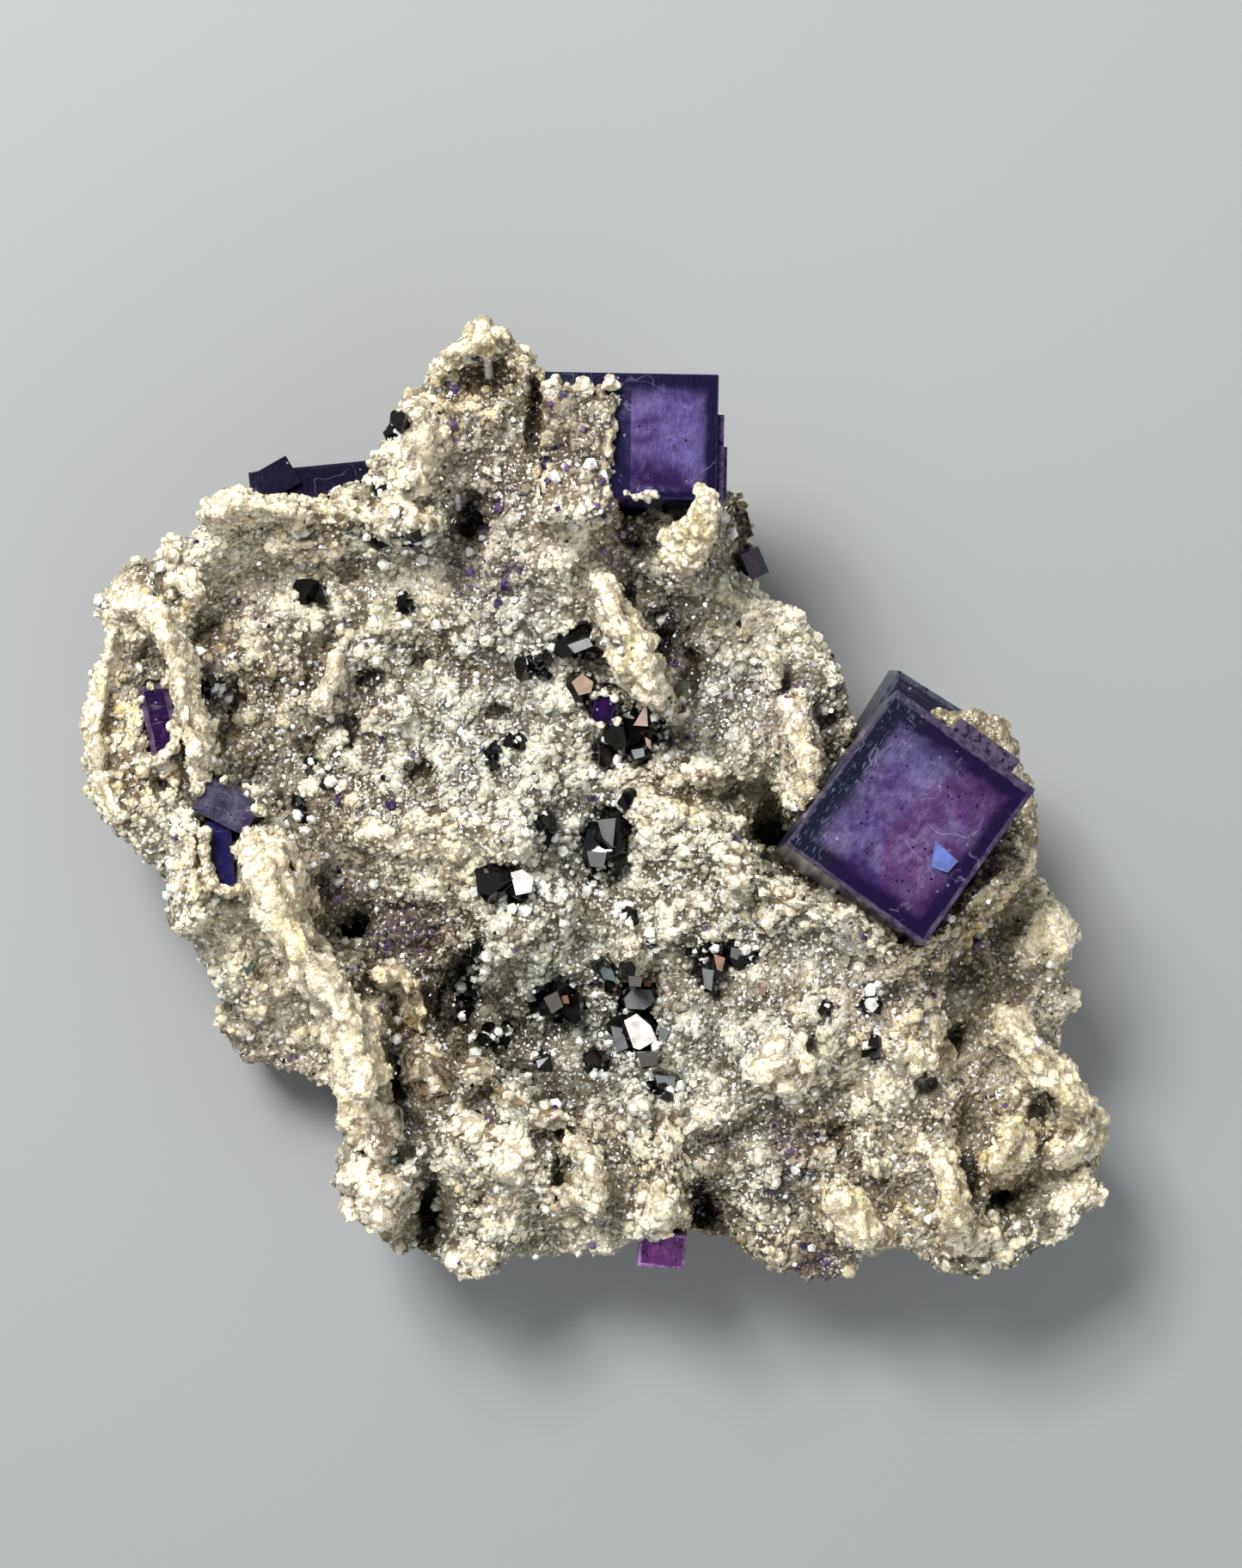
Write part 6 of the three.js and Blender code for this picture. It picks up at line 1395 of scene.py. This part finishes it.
# Rosettes that lap over the crystals and the rim: x, y, height, radius
overlaps = {
    "bladeTip": {"fields": {"cream": 0.8, "warm": 0.7}, "balls": [
        [10.2, 31, 33.6, 0.8], [10.8, 30, 33.6, 1.15], [11.2, 28.8, 33, 1.2], [10.2, 28.4, 32.8, 1.4],
        [9.6, 27.2, 32.2, 1.5], [10.6, 26.8, 31.8, 1.4], [9.4, 25.6, 31, 1.5], [8.2, 26.8, 31.4, 1.2],
        [7.8, 25.6, 30.6, 1.3], [8.6, 24.2, 30.2, 1.4], [9.6, 24.2, 30, 1.2], [7, 26.4, 30.6, 1],
        [7, 24.6, 30.2, 1],
    ]},
    # the shade field paints shade on the coated block and, below, on the grey rock
    "blockTop": {"fields": {"cream": 0.2, "warm": 0.3, "shade": 0.45}, "balls": [
        [-4.6, 40.6, 32.6, 0.8], [-2.6, 40.4, 32.8, 0.8], [0.2, 40.4, 32.8, 0.8], [1.6, 39.6, 33, 0.7],
        [-3.2, 39.4, 32.8, 0.9], [-1.6, 39.2, 32.8, 0.9], [0.2, 39.2, 32.8, 0.9], [1.2, 38.4, 32.9, 0.8],
        [-0.4, 38, 32.7, 0.9], [-2.2, 38.2, 32.5, 0.9], [1.4, 37.2, 32.8, 0.7], [1.5, 36, 32.8, 0.7],
        [1.4, 34.8, 32.8, 0.7], [1.5, 33.6, 32.7, 0.7], [1.3, 32.4, 32.6, 0.8], [1.2, 31.2, 32.5, 0.8],
        [0.2, 36.6, 32.6, 0.8], [0, 35.2, 32.6, 0.8], [0.3, 33.8, 32.5, 0.8],
    ]},
    "blockRosettes": {"fields": {"cream": 0.6}, "balls": [
        [-3.9, 41.3, 33.3, 0.75], [-4.3, 41, 33.2, 0.5], [-1.2, 41, 33.6, 1], [-0.6, 40.6, 33.6, 0.7],
        [-1.8, 40.7, 33.5, 0.6], [1.5, 41.4, 33.5, 0.8], [1.9, 41, 33.5, 0.55], [1.1, 40.9, 33.5, 0.6],
    ]},
    "cubeCorner": {"fields": {"cream": 0.2, "dust": 0.2, "frost": 0.5}, "balls": [
        [4.8, 30.5, 33.1, 0.45], [5.5, 30.4, 33.2, 0.6], [5, 30, 33.2, 0.5], [6.1, 30.1, 33.1, 0.3],
        [3.9, 30.2, 33, 0.4], [3, 30.6, 32.9, 0.4],
    ]},
    "greyRock": {"voxel": 0.32 * mm, "fields": {"cream": 0.0, "warm": 0.2, "olive": 0.8, "shade": 0.25},
                 "balls": [
        [36.6, 8.2, 18.6, 1.6], [38.6, 7.2, 18.4, 1.9], [39.6, 5.6, 18, 1.7], [37.4, 6.2, 17, 2.4],
        [40.2, 3.8, 17.2, 1.4], [38.4, 4, 16, 2.4], [36, 6.4, 16, 2.2], [33.4, 9, 18.4, 0.9],
        [35, 8.4, 18.8, 1.1], [41, 2, 16.4, 1.6], [41.2, 0.2, 16, 1.8], [41.4, -1.8, 16, 1.8],
    ]},
    "cubeGrains": {"fields": {"cream": 0.4, "warm": 1.0}, "balls": [
        [34.6, -7.2, 35.7, 0.5], [35.2, -6.7, 35.6, 0.35], [34.2, -8, 35.4, 0.45], [27.4, -7.6, 36.1, 0.4],
        [26.9, -8.1, 35.9, 0.3], [34.9, -7.9, 35.3, 0.4],
    ]},
    "leftGrains": {"fields": {"cream": 0.5, "warm": 0.4}, "balls": [
        [-40.5, 11.2, 25.2, 0.6], [-40.2, 10, 25, 0.7], [-40.3, 8.6, 25, 0.7], [-40.6, 7.2, 25, 0.8],
        [-41, 5.8, 25.2, 0.8], [-42, 4.8, 25.2, 0.9], [-43.4, 4.6, 25.2, 0.8], [-41.8, 12.1, 25.4, 0.6],
        [-43.2, 11.8, 25.4, 0.5], [-44.2, 8, 25.4, 0.5], [-43.9, 6.4, 25.4, 0.6], [-44.3, 10.4, 25.4, 0.5],
        [-41.2, 8, 25.3, 0.45],
    ]},
    "lowerGrains": {"fields": {"cream": 0.4, "warm": 0.3}, "balls": [
        [-37.8, -2.6, 26.4, 0.8], [-37.9, -4.2, 26, 0.8], [-37.6, -5.8, 25.8, 0.8], [-37.2, -7.2, 25.4, 0.9],
        [-36, -8.2, 25.2, 0.8], [-34.6, -8, 25.2, 0.7], [-38.6, 1.9, 26.6, 0.8], [-37.6, 3, 26.6, 0.6],
        [-36, 2.7, 26.6, 0.5], [-32.8, 1.6, 26.8, 0.8], [-32.6, -0.2, 26.8, 0.8], [-34, 2, 26.8, 0.4],
        [-33.8, -2.6, 26.6, 0.8], [-33.6, -4.6, 26.2, 0.8], [-33.7, -6.4, 25.8, 0.7],
    ]},
    "middleGrains": {"fields": {"cream": 0.4, "frost": 0.6}, "balls": [
        [-0.1, 11, 21.4, 0.5], [0.9, 11.2, 21.3, 0.5], [1.9, 10.6, 21.3, 0.45], [2, 8.4, 21.3, 0.5],
        [-0.4, 8.3, 21.3, 0.5], [0.6, 8, 21.3, 0.45],
    ]},
}
massLook = {"voxel": 0.2 * mm, "swell": (1.4 * mm, 0.3 * mm), "knobs": (0.9 * mm, 0.4 * mm),
            "beads": (0.5 * mm, 0.2 * mm), "grit": (0.3 * mm, 0.08 * mm)}
for name, look in overlaps.items():
    balls = [(placeOf(x, y, height), radius * mm) for x, y, height, radius in look["balls"]]
    skinLook = {**massLook, "voxel": look.get("voxel", massLook["voxel"])}
    piece = massOf(name, balls, skinLook, crusts["crust_cream"])
    count = len(piece.data.vertices)
    fields = {"crest": 0.6, "ahead": 1.0, "free": 1.0, **look["fields"]}
    writeFields(piece, {key: np.full(count, value) for key, value in fields.items()})

# A small cleaved step on the large cube, a little glossy, its blue a painted reflection of the sky
glint = facetPlate([[33.0, -3.2], [35.2, -5.2], [34.2, -6.3], [32.6, -5.8]])
assembled([glint], "cubeGlint", plainMaterial("sky_glint", linear(58, 76, 140), 0.2, 0.3))


def quartzMaterial():
    # clear needles with milky clouds and fine growth lines across them
    material, tree, shader = newMaterial("quartz_clear")
    place = objectPlace(tree)
    clouds = fromTo(tree, noise(tree, place, 1200.0, 5.0), 0.4, 0.62)
    lines = addNode(tree, "ShaderNodeTexWave", {"Vector": place, "Scale": 900.0, "Distortion": 1.5},
                    bands_direction="Y").outputs["Fac"]
    colour = blend(tree, clouds, linear(206, 208, 208), linear(246, 246, 243))
    colour = blend(tree, fromTo(tree, lines, 0.7, 0.95, 0.0, 0.3), colour, linear(170, 172, 172))
    feed(tree, shader, {"Base Color": colour, "Roughness": 0.14, "Transmission Weight": 0.25, "IOR": 1.544,
                        "Normal": bumpFrom(tree, lines, 0.3, 0.04 * mm)})
    return material


quartzFinish = quartzMaterial()
for node in ("quartz_needle_upper", "quartz_needle_lower"):
    dressCrystal(node, quartzFinish, 0.04 * mm)
flakeLook = {"voxel": 0.2 * mm, "swell": (2 * mm, 0.3 * mm), "knobs": (1.2 * mm, 0.25 * mm),
             "beads": (0.6 * mm, 0.16 * mm), "grit": (0.4 * mm, 0.08 * mm)}
flakeFinish = plainMaterial("olive_rock", linear(128, 116, 70), 0.3)
flake = dressCrystal("olive_flake", flakeFinish, 0.1 * mm, 2)
voxelSkin(flake, flakeLook["voxel"])
roughen(flake, flakeLook)
smooth(flake)
print("small crystals dressed")


# The finished skin, in pieces: the back with the walls, and the front in two halves
def parted(piece, chosen, name):
    # the chosen faces leave the piece and become one of their own
    chooseFaces(piece, chosen)
    bpy.ops.mesh.separate(type="SELECTED")
    bpy.ops.object.mode_set(mode="OBJECT")
    part = [other for other in bpy.context.selected_objects if other != piece][0]
    part.name = name
    part.data.name = name
    return part


def splitMatrix(look):
    facing = arrayOf(matrixBody.data.polygons, "normal", 3)[:, 2]
    height = arrayOf(matrixBody.data.polygons, "center", 3)[:, 2]
    front = parted(matrixBody, (facing > 0) & (height > look["front"]["height"]), "matrixFront")
    left = parted(front, arrayOf(front.data.polygons, "center", 3)[:, 0] < 0, "matrixLeft")
    matrixBody.name = "matrixBack"
    for piece in (matrixBody, front, left):
        smooth(piece)
        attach(piece, "root")
        print(piece.name + ":", triangles(piece), "triangles")
    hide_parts("matrix")


splitMatrix(matrixLook)

# Light, floor and camera
# Lamps: power in watts, width and place in metres. Sky: strength straight above and all round.
stageLook = {
    "floor": linear(137, 139, 138), "floorWidth": 3.0, "sky": (0.06, 0.62), "skyTint": (0.88, 0.92, 1.0, 1.0),
    "lamps": {"window": (6.2, 0.2, (-0.19, 0.29, 0.48)), "bounce": (3.2, 0.8, (0.44, -0.5, 0.6))},
    "aim": Vector((0, 0, 0.02)),
}


def makeStage(look):
    floor = newShape("plane", size=look["floorWidth"], location=(0, 0, 0))
    floor.name = "floor"
    material, tree, shader = newMaterial("floor")
    feed(tree, shader, {"Base Color": look["floor"], "Roughness": 0.9})
    floor.data.materials.append(material)
    for name, (power, size, place) in look["lamps"].items():
        bpy.ops.object.light_add(type="AREA", location=place)
        lamp = bpy.context.object
        lamp.name = name
        lamp.data.energy = power
        lamp.data.size = size
        lamp.rotation_euler = (look["aim"] - Vector(place)).to_track_quat("-Z", "Y").to_euler()
    world = bpy.data.worlds.new("room")
    bpy.context.scene.world = world
    world.use_nodes = True
    # dim overhead, where the one who looks stands, and bright all round
    tree = world.node_tree
    above = splitVector(tree, addNode(tree, "ShaderNodeTexCoord").outputs["Generated"])[2]
    dim, bright = look["sky"]
    feed(tree, tree.nodes["Background"], {0: look["skyTint"], 1: fromTo(tree, above, 0.98, 0.72, dim, bright)})


makeStage(stageLook)
bpy.ops.object.camera_add(location=(eye["x"] * mm, eye["y"] * mm, eye["height"] * mm), rotation=(0, 0, 0))
camera = bpy.context.object
camera.data.sensor_fit = "VERTICAL"
camera.data.sensor_height = eye["sensor"]
camera.data.lens = eye["lens"]
camera.data.clip_start = 0.01
bpy.context.scene.camera = camera
bpy.context.scene.view_settings.view_transform = "Standard"
